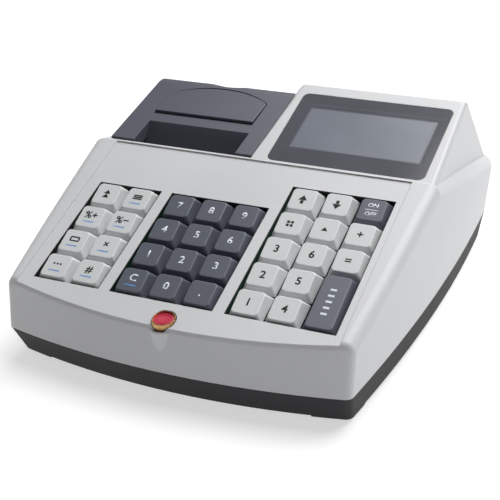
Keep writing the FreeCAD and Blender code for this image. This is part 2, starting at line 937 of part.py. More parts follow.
key_rows = (
    (("key_feed", "key_mode"), (0, 3)),
    (("key_percent_plus", "key_percent_minus"), (0, 2)),
    (("key_price", "key_void"), (0, 1)),
    (("key_function", "key_quantity"), (0, 0)),
    (("key_7", "key_8", "key_9"), (1, 3)),
    (("key_4", "key_5", "key_6"), (1, 2)),
    (("key_1", "key_2", "key_3"), (1, 1)),
    (("key_clear", "key_0", "key_point"), (1, 0)),
    (("key_arrow_up", "key_arrow_down", "key_power"), (2, 4)),
    (("key_department", "key_lookup", "key_pay"), (2, 3)),
    (("key_dept_3", "key_dept_6", "key_subtotal"), (2, 2)),
    (("key_dept_2", "key_dept_5"), (2, 1)),
    (("key_dept_1", "key_dept_4"), (2, 0)),
)


def key_middle(place):
    """Middle of a key on the flat panel frame."""
    name, block_index, column, row, rows = place
    left = block_edges()[block_index][0]
    return (left + (column + half_share) * pitch, (row + rows / 2) * pitch)


def key_cap(rows):
    """One key cap about its own middle, with its stem."""
    half_x = (pitch - key_gap) / 2
    half_v = (rows * pitch - key_gap) / 2
    length = half_v * 2 - key_front_inset - key_back_inset
    lift = (key_back_w - key_front_w) / length
    top = rounded_ring(-half_x + key_side_inset, -half_v + key_front_inset, half_x - key_side_inset,
                       half_v - key_back_inset, key_front_w, key_top_round, lift)
    base = rounded_ring(-half_x, -half_v, half_x, half_v, key_base_w, key_base_round, 0)
    body = Part.makeLoft([base, top], True, True)
    crown = [e for e in body.Edges if e.BoundBox.ZMin > key_front_w - seam_fit]
    body = body.makeFillet(key_edge_round, crown)
    inner_x = half_x - key_wall
    inner_v = half_v - key_wall
    hollow_top = rounded_ring(-inner_x + key_side_inset, -inner_v + key_front_inset,
                              inner_x - key_side_inset, inner_v - key_back_inset,
                              key_front_w - key_wall, key_top_round - key_wall, lift)
    hollow_base = rounded_ring(-inner_x, -inner_v, inner_x, inner_v, key_base_w,
                               key_base_round / 2, 0)
    hollow = Part.makeLoft([hollow_base, hollow_top], True, True)
    foot = switch_w - stem_grip
    stem = rod(stem_r, key_front_w - key_wall - foot + lift * half_v + bite / 2, V(0, 0, foot), V(0, 0, 1))
    return body.cut(hollow).fuse(stem)


def keyboard_field(margin, w0, w1):
    """Rectangle under all key blocks, drawn flat."""
    edges = block_edges()
    rows = max(block_rows)
    return block(edges[0][0] - margin, -margin, w0, edges[-1][1] + margin, rows * pitch + margin, w1)


def post_slots():
    """Clear holes for the two front screw posts, drawn upright."""
    holes = []
    for x, y in post_places()[:2]:
        holes.append(rod(post_r + stem_clear * 2, roof_z, V(x, y, 0), V(0, 0, 1)))
    return holes


def key_plate():
    """Keyboard frame: plate, well rims and posts to the circuit board."""
    plate = keyboard_field(board_margin, plate_w, plate_w + plate_thick)
    rims = []
    bores = []
    for (x0, x1, rows) in block_edges():
        inside = rim_clear
        outside = rim_clear + rim_thick
        rims.append(block(x0 - outside, -outside, plate_w, x1 + outside, rows * pitch + outside,
                          -lip_thick))
        bores.append(block(x0 - inside, -inside, plate_w + plate_thick, x1 + inside,
                           rows * pitch + inside, 0))
    body = plate.fuse(rims).cut(bores)
    half = switch_size / 2 + switch_fit
    cuts = []
    for place in key_places():
        x, v = key_middle(place)
        cuts.append(block(x - half, v - half, plate_w - bite,
                          x + half, v + half, plate_w + plate_thick + bite))
    body = body.cut(cuts)
    legs = []
    for x, v in board_legs():
        legs.append(rod(board_leg_r, plate_w - board_w + bite / 2, V(x, v, board_w), V(0, 0, 1)))
    return on_panel(body.fuse(legs)).cut(post_slots())


def board_legs():
    """Places of the posts between plate and board, in the gaps of the keys."""
    edges = block_edges()
    rows = max(block_rows)
    gaps = [(a[1] + b[0]) / 2 for a, b in zip(edges, edges[1:])]
    places = []
    for x in gaps:
        places += [(x, board_leg_r), (x, rows * pitch - board_leg_r)]
    for x in (edges[0][0], edges[-1][1]):
        places += [(x, pitch), (x, (rows - 1) * pitch)]
    return places


def key_switches():
    """One switch under every key."""
    half = switch_size / 2
    switches = []
    for place in key_places():
        x, v = key_middle(place)
        body = block(x - half, v - half, board_w, x + half, v + half, switch_w)
        bore = rod(stem_r + stem_clear, switch_w - board_w, V(x, v, board_w), V(0, 0, 1))
        switches.append(on_panel(body.cut(bore)))
    return Part.makeCompound(switches)


def keyboard_board():
    """Circuit board under the switches."""
    return on_panel(keyboard_field(board_margin, board_w - board_thick, board_w)).cut(post_slots())


# Seal

def seal_cup():
    """Metal cup for the seal at the front edge."""
    cup = rod(seal_r, seal_height, V(0, 0, -seal_height), V(0, 0, 1))
    bore = rod(seal_r - seal_wall, seal_height, V(0, 0, seal_floor - seal_height), V(0, 0, 1))
    return seal_frame(cup.cut(bore))


def seal_wax():
    """Seal pressed into the cup."""
    height = seal_height - seal_floor - wax_drop
    return seal_frame(rod(seal_r - seal_wall, height, V(0, 0, seal_floor - seal_height), V(0, 0, 1)))


# Displays

def display_window():
    return on_hood(window_cut(0, -window_thick, 0))


def customer_window():
    return on_hood_back(customer_cut(0, -window_thick, 0))


def module_form(cut, thick):
    """Display module: frame under the wall with a recessed glass face."""
    outer = cut(module_margin - window_ledge, -wall - thick, -wall)
    face = cut(module_margin - window_ledge - face_inset, -wall - face_step, -wall + bite)
    return outer.cut(face)


def display_module():
    return on_hood(module_form(window_cut, module_thick))


def customer_module():
    return on_hood_back(module_form(customer_cut, customer_module_thick))


# Base

def tray_form(inset, low):
    """Outside of the base tray, or its inside at an inset."""
    high = seam_z + (inset > 0) * bite

    def ring(z):
        share = (seam_z - z) / tray_height
        return plan_edges(z, inset, tray_front_inset * share, tray_side_inset * share,
                          tray_rear_inset * share)

    body = Part.makeLoft([ring(low), ring(high)], True, True)
    body = body.makeFillet(front_corner_r - inset / 2, upright_edges(body, True))
    return body.makeFillet(rear_corner_r - inset, upright_edges(body, False))


def rim_form(inset, z0, z1):
    """Thin form of the case outline at the seam, for the spigot."""
    lean = tan(front_lean_deg)
    body = Part.makeLoft([plan_edges(z0, inset, (z0 - seam_z) * lean, 0, 0),
                          plan_edges(z1, inset, (z1 - seam_z) * lean, 0, 0)], True, True)
    edges = [e for e in body.Edges if abs(e.BoundBox.ZLength - (z1 - z0)) < seam_fit
             and abs(e.BoundBox.XLength) < bite]
    front = [e for e in edges if e.BoundBox.YMax < 0]
    rear = [e for e in edges if e.BoundBox.YMin > 0]
    body = body.makeFillet(front_corner_r - inset / 2, front)
    rear = [e for e in body.Edges if abs(e.BoundBox.ZLength - (z1 - z0)) < seam_fit
            and e.BoundBox.YMin > middle_y and e.BoundBox.XLength < bite]
    return body.makeFillet(rear_corner_r - inset, rear)


def board_supports():
    """Places of the main board's standoffs."""
    low = main_front_y + board_edge_in
    high = main_back_y - board_edge_in
    places = [(x, y) for x in (main_left + board_edge_in, main_right - board_edge_in) for y in (low, high)]
    return places + [(x, frame_foot_y) for x in frame_feet()]


def frame_feet():
    """Middles of the printer frame's two feet."""
    half = frame_foot_size / 2
    return (main_left + half + bite, paper_right - frame_foot_in - half)


def base_tray():
    """Lower tray with its spigot, bosses and standoffs."""
    floor_z = foot_proud + tray_floor + pad_step
    body = tray_form(0, foot_proud).cut(tray_form(wall, floor_z))
    hollow = wall + seam_fit + spigot_thick
    shelf = rim_form(wall - seam_fit, seam_z - spigot_foot, seam_z)
    spigot = rim_form(wall + seam_fit, seam_z, seam_z + spigot_height)
    core = rim_form(hollow, seam_z - spigot_foot - bite, seam_z + spigot_height + bite)
    body = body.fuse([shelf.cut(core), spigot.cut(core)])
    reach = case_depth
    step_x = foot_inset_x - pad_size / 2
    front = foot_front_y + pad_size / 2
    back = foot_back_y - pad_size / 2
    top = foot_proud + pad_step
    body = body.cut([block(-step_x, -reach, 0, step_x, reach, top),
                     block(-reach, front, 0, reach, back, top)])
    adds = []
    cuts = []
    for x, y in post_places():
        adds.append(rod(tray_boss_r, post_low_z - floor_z + bite, V(x, y, floor_z - bite), V(0, 0, 1)))
        cuts.append(rod(screw_recess_r, post_low_z - screw_seat, V(x, y, 0), V(0, 0, 1)))
        cuts.append(rod(screw_hole_r, post_low_z, V(x, y, 0), V(0, 0, 1)))
    for x, y in board_supports():
        adds.append(rod(standoff_r, main_z - floor_z + bite, V(x, y, floor_z - bite), V(0, 0, 1)))
    for x in (-foot_inset_x, foot_inset_x):
        for y in (foot_front_y, foot_back_y):
            cuts.append(rod(foot_r + seam_fit, foot_proud + foot_seat, V(x, y, 0), V(0, 0, 1)))
    for x, width in zip(socket_x, jack_width + (inlet_r * 2,)):
        half = width / 2 + socket_fit + bite
        cuts.append(block(x - half, socket_back_y, seam_z + seam_fit, x + half, reach, roof_z))
    return body.fuse(adds).cut(cuts)


def rubber_feet():
    """Four equal round feet."""
    feet = []
    for x in (-foot_inset_x, foot_inset_x):
        for y in (foot_front_y, foot_back_y):
            foot = rod(foot_r, foot_proud + foot_seat, V(x, y, 0), V(0, 0, 1))
            low = [e for e in foot.Edges if e.BoundBox.ZMax < bite]
            feet.append(foot.makeFillet(foot_seat, low))
    return Part.makeCompound(feet)


def case_screws():
    """Four equal screws from below."""
    screws = []
    seat = post_low_z - screw_seat
    for x, y in post_places():
        shank = rod(screw_r, screw_length, V(x, y, seat), V(0, 0, 1))
        head = rod(screw_head_r, screw_head_height, V(x, y, seat - screw_head_height), V(0, 0, 1))
        slot = block(x - screw_head_r, y - screw_r / 4, seat - screw_head_height - bite, x + screw_head_r,
                     y + screw_r / 4, seat - screw_head_height / 2)
        cross = block(x - screw_r / 4, y - screw_head_r, seat - screw_head_height - bite, x + screw_r / 4,
                      y + screw_head_r, seat - screw_head_height / 2)
        screws.append(shank.fuse(head).cut([slot, cross]))
    return Part.makeCompound(screws)


# Boards

def main_board():
    """Main circuit board with its chips and the coin cell."""
    top = main_z + main_thick
    body = block(main_left, main_front_y, main_z, main_right, main_back_y, top)
    half = chip_size / 2
    adds = []
    for x, y in ((main_right / 3, chip_size), (main_right * 2 / 3, chip_size * 3)):
        adds.append(block(x - half, y - half, top - bite / 2, x + half, y + half, top + chip_height))
    adds.append(rod(cell_r, cell_height + bite / 2, V(main_right - cell_r * 2, main_back_y - cell_r * 3,
                                                      top - bite / 2), V(0, 0, 1)))
    return body.fuse(adds)


def rear_sockets():
    """Two data sockets and the power inlet, one solid each."""
    top = main_z + main_thick
    sockets = []
    depths = (jack_depth, jack_depth, inlet_depth)
    for x, width in zip(socket_x, socket_width):
        sockets.append(block(x - width / 2, socket_back_y - socket_depth, top, x + width / 2,
                             socket_back_y, top + socket_height))
    cuts = []
    for index, depth in enumerate(depths):
        cuts.append(socket_cuts(0, socket_back_y - depth, depth + bite)[index])
    solids = [body.cut(cut) for body, cut in zip(sockets, cuts)]
    pin = rod(inlet_pin_r, inlet_pin_length + bite,
              V(socket_x[-1], socket_back_y - inlet_depth - bite, jack_z()), V(0, 1, 0))
    solids[-1] = solids[-1].fuse(pin)
    return Part.makeCompound(solids)


# Printer

idler_z = platen_z - gear_module * (platen_teeth + idler_teeth) / 2
pinion_z = idler_z - gear_module * (idler_teeth + pinion_teeth) / 2
gear_x = paper_right + bucket_wall + gear_gap
frame_left = paper_left - bucket_wall
frame_right = paper_right + bucket_wall


def gear(teeth, z, bore, turn_share):
    """Spur gear on the platen's side of the printer, axis along X."""
    pitch_r = gear_module * teeth / 2
    step = math.tau / teeth
    points = []
    for index in range(teeth):
        middle = (index + turn_share) * step
        for offset, radius in ((-tooth_root_share, pitch_r - gear_root),
                               (-tooth_tip_share, pitch_r + gear_tip),
                               (tooth_tip_share, pitch_r + gear_tip),
                               (tooth_root_share, pitch_r - gear_root)):
            angle = middle + offset * step
            points.append((platen_y + radius * math.sin(angle), z + radius * math.cos(angle)))
    body = prism_x(points, gear_x, gear_x + gear_width)
    return body.cut(rod(bore, gear_width, V(gear_x, platen_y, z), V(1, 0, 0)))


def platen_shaft():
    """Steel shaft through the roller, both bearings and the gear."""
    start = frame_left - gear_gap
    end = gear_x + gear_width + idler_collar
    return rod(platen_shaft_r, end - start, V(start, platen_y, platen_z), V(1, 0, 0))


def platen_roller():
    """Rubber roller on the shaft."""
    start = paper_left + platen_end_gap
    length = paper_right - platen_end_gap - start
    body = rod(platen_r, length, V(start, platen_y, platen_z), V(1, 0, 0))
    return body.cut(rod(platen_shaft_r, length, V(start, platen_y, platen_z), V(1, 0, 0)))


def platen_gear():
    return gear(platen_teeth, platen_z, platen_shaft_r, 0)


def idler_gear():
    return gear(idler_teeth, idler_z, idler_pin_r + bearing_clear, half_share)


def motor_pinion():
    """Pinion on the motor's shaft."""
    body = gear(pinion_teeth, pinion_z, motor_shaft_r, 0)
    start = paper_right - motor_length / 2
    end = gear_x + gear_width
    return body.fuse(rod(motor_shaft_r, end - start, V(start, platen_y, pinion_z), V(1, 0, 0)))


def feed_motor():
    """Small motor on the inside of the frame's right end plate."""
    start = paper_right - motor_length
    body = rod(motor_r, motor_length, V(start, platen_y, pinion_z), V(1, 0, 0))
    bore = rod(motor_shaft_r + bearing_clear, motor_length, V(start + motor_length / 4, platen_y, pinion_z),
               V(1, 0, 0))
    return body.cut(bore)


def print_head():
    """Thermal head in front of the roller."""
    back = platen_y - platen_r - head_gap
    front = frame_front_y + frame_bar
    top = platen_z + head_rise
    return block(paper_left + platen_end_gap, front, top - head_height, paper_right - platen_end_gap,
                 back, top)


def tear_bar():
    """Serrated strip along the front of the slot."""
    left = paper_left + frame_lip_in
    right = paper_right - frame_lip_in
    top = tent_top(printer_front_y, peak_z + cheek_rise) - tear_drop
    low = top - tear_height
    count = int((right - left) / tear_pitch)
    points = [(left, low), (left, top - tear_depth)]
    for index in range(count):
        x = left + (right - left) * (index + half_share) / count
        points.append((x, top))
        points.append((left + (right - left) * (index + 1) / count, top - tear_depth))
    points.append((right, low))
    corners = [V(x, frame_front_y, z) for x, z in points]
    face = Part.Face(Part.makePolygon(corners + corners[:1]))
    return face.extrude(V(0, -tear_thick, 0))


def printer_frame():
    """Printer chassis: end plates, paper bucket, front bar and feet."""
    tail = frame_tail_y
    radius = bucket_r + bucket_wall
    plate = [(frame_front_y, pinion_z - motor_r - bucket_wall), (frame_front_y, frame_top_z),
             (bucket_y - radius + bucket_wall, frame_top_z),
             (bucket_y - radius + bucket_wall + (frame_top_z - bucket_top_z), bucket_top_z),
             (bucket_y + radius * frame_corner_share, bucket_top_z), (tail, bucket_z),
             (bucket_y + bucket_r / 2, bucket_z - bucket_r),
             (bucket_y - bucket_r / 2, bucket_z - bucket_r)]
    plates = [prism_x(plate, frame_left, paper_left), prism_x(plate, paper_right, frame_right)]
    trough = rod(radius, frame_right - frame_left, V(frame_left, bucket_y, bucket_z), V(1, 0, 0))
    inside = rod(bucket_r, paper_right - paper_left, V(paper_left, bucket_y, bucket_z), V(1, 0, 0))
    reach = case_depth
    open_top = [block(-reach, -reach, bucket_front_z, reach, bucket_y, reach),
                block(-reach, bucket_y, bucket_top_z, reach, reach, reach)]
    trough = trough.cut(open_top)
    top = main_z + main_thick
    feet = []
    half = frame_foot_size / 2
    for x in frame_feet():
        feet.append(block(x - half, frame_foot_y - half, top,
                          x + half, frame_foot_y + half, bucket_z - bucket_r))
    bar = block(frame_left, frame_front_y, frame_bar_z, frame_right, frame_front_y + frame_bar, frame_top_z)
    lip = block(paper_left + frame_lip_in, frame_front_y, frame_top_z - bite, paper_right - frame_lip_in,
                frame_front_y + frame_bar, frame_lip_z)
    pin_end = gear_x + gear_width + gear_gap / 2
    pin = rod(idler_pin_r, pin_end - paper_right + idler_head, V(paper_right, platen_y, idler_z), V(1, 0, 0))
    collar = rod(idler_collar_r, bucket_wall + idler_collar, V(paper_right, platen_y, idler_z), V(1, 0, 0))
    head = rod(idler_collar_r, idler_head, V(pin_end, platen_y, idler_z), V(1, 0, 0))
    body = plates[0].fuse([plates[1], trough, bar, lip, pin, collar, head] + feet).cut(inside)
    bores = [rod(platen_shaft_r + bearing_clear, reach, V(-reach / 2, platen_y, platen_z), V(1, 0, 0)),
             rod(motor_shaft_r * 2, bucket_wall, V(paper_right, platen_y, pinion_z), V(1, 0, 0))]
    return body.cut(bores)


nodes = [
    ("top_cover", top_cover), ("base_tray", base_tray), ("rubber_feet", rubber_feet),
    ("case_screws", case_screws), ("printer_cover", printer_cover), ("release_lever", release_lever),
    ("tear_bar", tear_bar), ("printer_frame", printer_frame), ("platen_roller", platen_roller),
    ("platen_shaft", platen_shaft), ("platen_gear", platen_gear), ("idler_gear", idler_gear),
    ("motor_pinion", motor_pinion), ("feed_motor", feed_motor), ("print_head", print_head),
    ("display_window", display_window), ("display_module", display_module),
    ("customer_window", customer_window), ("customer_module", customer_module),
    ("main_board", main_board), ("keyboard_board", keyboard_board), ("key_plate", key_plate),
    ("key_switches", key_switches), ("rear_sockets", rear_sockets), ("seal_cup", seal_cup),
    ("seal_wax", seal_wax),
]


def build():
    """Write one STEP file for each node."""
    os.makedirs("parts", exist_ok=True)
    for name, make in nodes:
        make().exportStep("parts/" + name + ".step")
    caps = {1: key_cap(1), 2: key_cap(2)}
    for place in key_places():
        x, v = key_middle(place)
        cap = caps[place[-1]].copy()
        cap.translate(V(x, v, 0))
        on_panel(cap).exportStep("parts/" + place[0] + ".step")


build()
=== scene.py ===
"""Looks of a desktop ticket register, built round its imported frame. Metres, Z up."""

import json
import logging
import math
from dataclasses import dataclass, field
from enum import Enum
from functools import reduce

import bmesh
import bpy
from mathutils import Matrix, Vector


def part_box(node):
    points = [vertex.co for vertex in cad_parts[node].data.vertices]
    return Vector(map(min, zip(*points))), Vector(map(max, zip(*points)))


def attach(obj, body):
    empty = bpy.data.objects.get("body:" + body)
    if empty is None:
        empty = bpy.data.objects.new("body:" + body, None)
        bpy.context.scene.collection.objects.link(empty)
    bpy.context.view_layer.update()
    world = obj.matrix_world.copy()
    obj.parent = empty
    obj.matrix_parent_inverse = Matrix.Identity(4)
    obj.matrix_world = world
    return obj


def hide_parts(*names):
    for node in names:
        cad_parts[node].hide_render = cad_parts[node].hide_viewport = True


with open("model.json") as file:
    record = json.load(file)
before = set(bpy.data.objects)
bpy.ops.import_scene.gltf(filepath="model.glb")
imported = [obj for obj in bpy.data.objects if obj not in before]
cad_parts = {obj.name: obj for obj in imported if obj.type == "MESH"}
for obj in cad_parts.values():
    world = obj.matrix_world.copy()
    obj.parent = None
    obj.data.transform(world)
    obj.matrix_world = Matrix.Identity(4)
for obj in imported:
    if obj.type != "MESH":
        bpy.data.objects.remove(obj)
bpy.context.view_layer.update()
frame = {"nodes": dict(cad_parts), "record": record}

MM = 0.001
log = logging.getLogger("ticket_register")

# Slope of the keyboard panel and of the display face, and where each plane starts.
PANEL_SLOPE = math.radians(18.0)
PANEL_START = Vector((0.0, -0.111, 0.0475))
HOOD_SLOPE = math.radians(17.0)
HOOD_START = Vector((0.0, -0.005, 0.081941))
HOOD_BACK_SLOPE = math.radians(-48.0)
HOOD_BACK_START = Vector((0.0, 0.067, 0.103954))

# Left, right and rear edge of each key well on the panel.
WELLS = (
    (-81.2 * MM, -43.1 * MM, 76.2 * MM),
    (-36.25 * MM, 20.85 * MM, 76.2 * MM),
    (27.7 * MM, 84.75 * MM, 95.25 * MM),
)
BLACK = (0.008, 0.008, 0.009, 1.0)

# Sockets of a Mix node that mixes colours, which share their names with other types.
MIX_SHARE = 0
MIX_FIRST = 6
MIX_SECOND = 7
MIX_RESULT = 2
BEVEL_SAMPLES = 4

SHARP_ANGLE = math.radians(35.0)
UPWARD = 0.95

# Grain of the key caps in cycles per metre, and its depth.
KEY_GRAIN = 2600.0
KEY_DEPTH = 0.012 * MM


class Value:
    """A number in a shader that takes part in Python sums."""

    def __init__(self, shader: "Shader", socket: bpy.types.NodeSocket) -> None:
        """Keep the socket and the shader that it belongs to.

        Args:
            shader: Shader whose tree holds the socket.
            socket: Output socket of a node.
        """
        self.shader = shader
        self.socket = socket

    def _math(self, operation: str, *terms: object) -> "Value":
        """Add a Math node.

        Args:
            operation: Name of the sum.
            *terms: Numbers or values, in order.

        Returns:
            The node's result.
        """
        inputs = {index: term for index, term in enumerate(terms)}
        node = self.shader.node("ShaderNodeMath", {"operation": operation}, inputs)
        return Value(self.shader, node.outputs[0])

    def __add__(self, other: object) -> "Value":
        """Sum."""
        return self._math("ADD", self, other)

    __radd__ = __add__

    def __sub__(self, other: object) -> "Value":
        """Difference."""
        return self._math("SUBTRACT", self, other)

    def __rsub__(self, other: object) -> "Value":
        """Difference from a number."""
        return self._math("SUBTRACT", other, self)

    def __mul__(self, other: object) -> "Value":
        """Product."""
        return self._math("MULTIPLY", self, other)

    __rmul__ = __mul__

    def __abs__(self) -> "Value":
        """Size without sign."""
        return self._math("ABSOLUTE", self)

    def sine(self) -> "Value":
        """Sine of an angle in radians."""
        return self._math("SINE", self)

    def above(self, limit: object) -> "Value":
        """One where this is greater than the limit, else nought."""
        return self._math("GREATER_THAN", self, limit)

    def below(self, limit: object) -> "Value":
        """One where this is less than the limit, else nought."""
        return self._math("LESS_THAN", self, limit)

    def most(self, other: object) -> "Value":
        """Greater of two values."""
        return self._math("MAXIMUM", self, other)

    def ramp(self, low: float, high: float) -> "Value":
        """Rise smoothly from nought at low to one at high.

        Args:
            low: Value that gives nought.
            high: Value that gives one.

        Returns:
            The mapped value.
        """
        node = self.shader.node(
            "ShaderNodeMapRange",
            {"interpolation_type": "SMOOTHSTEP"},
            {"Value": self, "From Min": low, "From Max": high},
        )
        return Value(self.shader, node.outputs["Result"])


class Shader:
    """Material whose nodes are added through one method."""

    def __init__(self, name: str) -> None:
        """Start a material with a Principled surface.

        Args:
            name: Name of the material.
        """
        self.material = bpy.data.materials.new(name)
        self.material.use_nodes = True
        self.tree = self.material.node_tree
        self.surface = self.tree.nodes["Principled BSDF"]

    def node(self, kind: str, settings: dict | None = None,
             inputs: dict | None = None) -> bpy.types.Node:
        """Add a node.

        Args:
            kind: Type name of the node.
            settings: Properties, set before the sockets.
            inputs: Socket name or number to number, colour, Value or output socket.

        Returns:
            The new node.
        """
        made = self.tree.nodes.new(kind)
        for name, value in (settings or {}).items():
            setattr(made, name, value)
        for name, value in (inputs or {}).items():
            self.feed(made.inputs[name], value)
        return made

    def feed(self, socket: bpy.types.NodeSocket, value: object) -> None:
        """Link or set one input.

        Args:
            socket: Input socket.
            value: Number, colour, Value or output socket.
        """
        if isinstance(value, Value):
            self.tree.links.new(value.socket, socket)
        elif isinstance(value, bpy.types.NodeSocket):
            self.tree.links.new(value, socket)
        else:
            socket.default_value = value

    def fix(self, **values: object) -> None:
        """Set constants on the surface.

        Args:
            **values: Socket name, with _ for a space, to number or colour.
        """
        for name, value in values.items():
            self.surface.inputs[name.replace("_", " ")].default_value = value

    def place(self, slope: float = 0.0, start: Vector | None = None) -> bpy.types.NodeSocket:
        """Object coordinates, in the frame of a sloping plane where one is given.

        Args:
            slope: Turn of the plane about X in radians.
            start: Origin of the plane.

        Returns:
            The coordinates' output socket.
        """
        place = self.node("ShaderNodeTexCoord").outputs["Object"]
        if start is None:
            return place
        mapping = self.node(
            "ShaderNodeMapping",
            {"vector_type": "TEXTURE"},
            {"Vector": place, "Location": start, "Rotation": (slope, 0.0, 0.0)},
        )
        return mapping.outputs["Vector"]

    def axes(self, place: bpy.types.NodeSocket) -> tuple:
        """Split coordinates.

        Args:
            place: Coordinates.

        Returns:
            X, Y and Z as three values.
        """
        parts = self.node("ShaderNodeSeparateXYZ", None, {"Vector": place})
        return tuple(Value(self, socket) for socket in parts.outputs)

    def noise(self, place: bpy.types.NodeSocket, scale: float, detail: float = 2.0) -> Value:
        """Cloudy noise.

        Args:
            place: Coordinates.
            scale: Cycles per metre.
            detail: Octaves.

        Returns:
            The noise, from nought to one.
        """
        made = self.node(
            "ShaderNodeTexNoise", None, {"Vector": place, "Scale": scale, "Detail": detail})
        return Value(self, made.outputs["Fac"])

    def blend(self, share: object, first: object, second: object) -> bpy.types.NodeSocket:
        """Mix two colours.

        Args:
            share: Share of the second colour.
            first: Colour at nought.
            second: Colour at one.

        Returns:
            The mixed colour's output socket.
        """
        mix = self.node(
            "ShaderNodeMix", {"data_type": "RGBA"},
            {MIX_SHARE: share, MIX_FIRST: first, MIX_SECOND: second})
        return mix.outputs[MIX_RESULT]

    def relief(self, height: Value, depth: float, edge: float = 0.0) -> None:
        """Bump the surface, with softened edges where edge is given.

        Args:
            height: Height from nought to one.
            depth: Depth of the relief in metres.
            edge: Radius of the softened edges in metres.
        """
        bump = self.node(
            "ShaderNodeBump", None, {"Height": height, "Distance": depth, "Strength": 1.0})
        if edge > 0:
            soft = self.node("ShaderNodeBevel", {"samples": BEVEL_SAMPLES}, {"Radius": edge})
            self.feed(bump.inputs["Normal"], soft.outputs["Normal"])
        self.feed(self.surface.inputs["Normal"], bump.outputs["Normal"])


def tint(colour: tuple, factor: float) -> tuple:
    """A colour made lighter or darker.

    Args:
        colour: Red, green, blue and alpha.
        factor: Multiplier of the first three.

    Returns:
        The new colour.
    """
    return tuple(min(1.0, part * factor) for part in colour[:3]) + (1.0,)


def srgb(red: int, green: int, blue: int) -> tuple:
    """Linear colour of a screen colour.

    Args:
        red: Red from 0 to 255.
        green: Green from 0 to 255.
        blue: Blue from 0 to 255.

    Returns:
        Linear red, green, blue and alpha.
    """
    parts = []
    for part in (red, green, blue):
        level = part / 255
        parts.append(level / 12.92 if level <= 0.04045 else ((level + 0.055) / 1.055) ** 2.4)
    return tuple(parts) + (1.0,)


@dataclass(frozen=True)
class MouldedPlastic:
    """Moulded plastic with an eroded grain, faint flow marks and handling sheen."""

    name: str
    colour: tuple
    roughness: float = 0.45
    grain: float = 1500.0
    depth: float = 0.03 * MM
    mottle: float = 0.04
    edge: float = 0.0
    coat: float = 0.0
    specular: float = 0.5
    coat_roughness: float = 0.12
    flow_scale: float = 9.0
    flow_sheen: float = 0.16
    grain_sheen: float = 0.1
    speck_scale: float = 0.35
    main_share: float = 0.7

    def over(self, _shader: Shader, colour: bpy.types.NodeSocket) -> bpy.types.NodeSocket:
        """Colour with what lies over it, which is nothing on plain plastic.

        Args:
            _shader: Shader of the material; not used here.
            colour: Colour of the plastic.

        Returns:
            The colour that shows.
        """
        return colour

    def build(self) -> bpy.types.Material:
        """Material of this finish."""
        shader = Shader(self.name)
        place = shader.place()
        cloud = shader.noise(place, self.flow_scale, 3.0)
        fine = shader.noise(place, self.grain, 2.0)
        speck = shader.noise(place, self.grain * self.speck_scale, 1.0)
        rest = 1 - self.main_share
        tone = cloud.ramp(0.3, 0.7) * self.main_share + fine.ramp(0.25, 0.75) * rest
        colour = shader.blend(
            tone, tint(self.colour, 1 - self.mottle), tint(self.colour, 1 + self.mottle))
        sheen = (cloud - 0.5) * self.flow_sheen
        shader.feed(shader.surface.inputs["Base Color"], self.over(shader, colour))
        shader.feed(shader.surface.inputs["Roughness"],
                    self.roughness + sheen + (fine - 0.5) * self.grain_sheen)
        shader.fix(Specular_IOR_Level=self.specular, Coat_Weight=self.coat,
                   Coat_Roughness=self.coat_roughness)
        shader.relief(fine * self.main_share + speck * rest, self.depth, self.edge)
        return shader.material


@dataclass(frozen=True)
class CaseShell(MouldedPlastic):
    """Moulded case with painted shade in its key wells: their walls, and a thin line round each
    opening, are painted black where shade falls.
    """

    wells: tuple = ()
    # Painted shade of the wells: its colour, how far it reaches past each opening, and how deep
    # it goes below the panel.
    wall: tuple = BLACK
    lip: float = 0.3 * MM
    wall_depth: float = 2.2 * MM

    def over(self, shader: Shader, colour: bpy.types.NodeSocket) -> bpy.types.NodeSocket:
        """Colour with the painted shade of the wells over it.

        Args:
            shader: Shader of the material.
            colour: Colour of the plastic.

        Returns:
            The colour that shows.
        """
        across, along, out = shader.axes(shader.place(PANEL_SLOPE, PANEL_START))
        masks = []
        for left, right, rear in self.wells:
            half_run = (rear + self.lip) / 2
            inside = abs(across - (left + right) / 2).below((right - left) / 2 + self.lip)
            masks.append(inside * abs(along - half_run).below(half_run))
        # Painted shade: black over the wells' walls near the panel's plane and in a thin band
        # round each opening.
        mask = reduce(Value.most, masks) * abs(out).below(self.wall_depth)
        return shader.blend(mask, colour, self.wall)


@dataclass(frozen=True)
class WellFrame:
    """Black keyboard frame whose rims are dark green at the left of two wells."""

    name: str
    colour: tuple
    rim: tuple
    edges: tuple
    width: float = 1.0 * MM
    roughness: float = 0.5
    grain: float = 1500.0
    depth: float = 0.02 * MM

    def build(self) -> bpy.types.Material:
        """Material of this finish."""
        shader = Shader(self.name)
        place = shader.place()
        across = shader.axes(place)[0]
        masks = [abs(across - edge).below(self.width) for edge in self.edges]
        colour = shader.blend(masks[0].most(masks[1]), self.colour, self.rim)
        fine = shader.noise(place, self.grain, 2.0)
        shader.feed(shader.surface.inputs["Base Color"], colour)
        shader.feed(shader.surface.inputs["Roughness"], self.roughness + (fine - 0.5) * 0.1)
        shader.relief(fine, self.depth)
        return shader.material


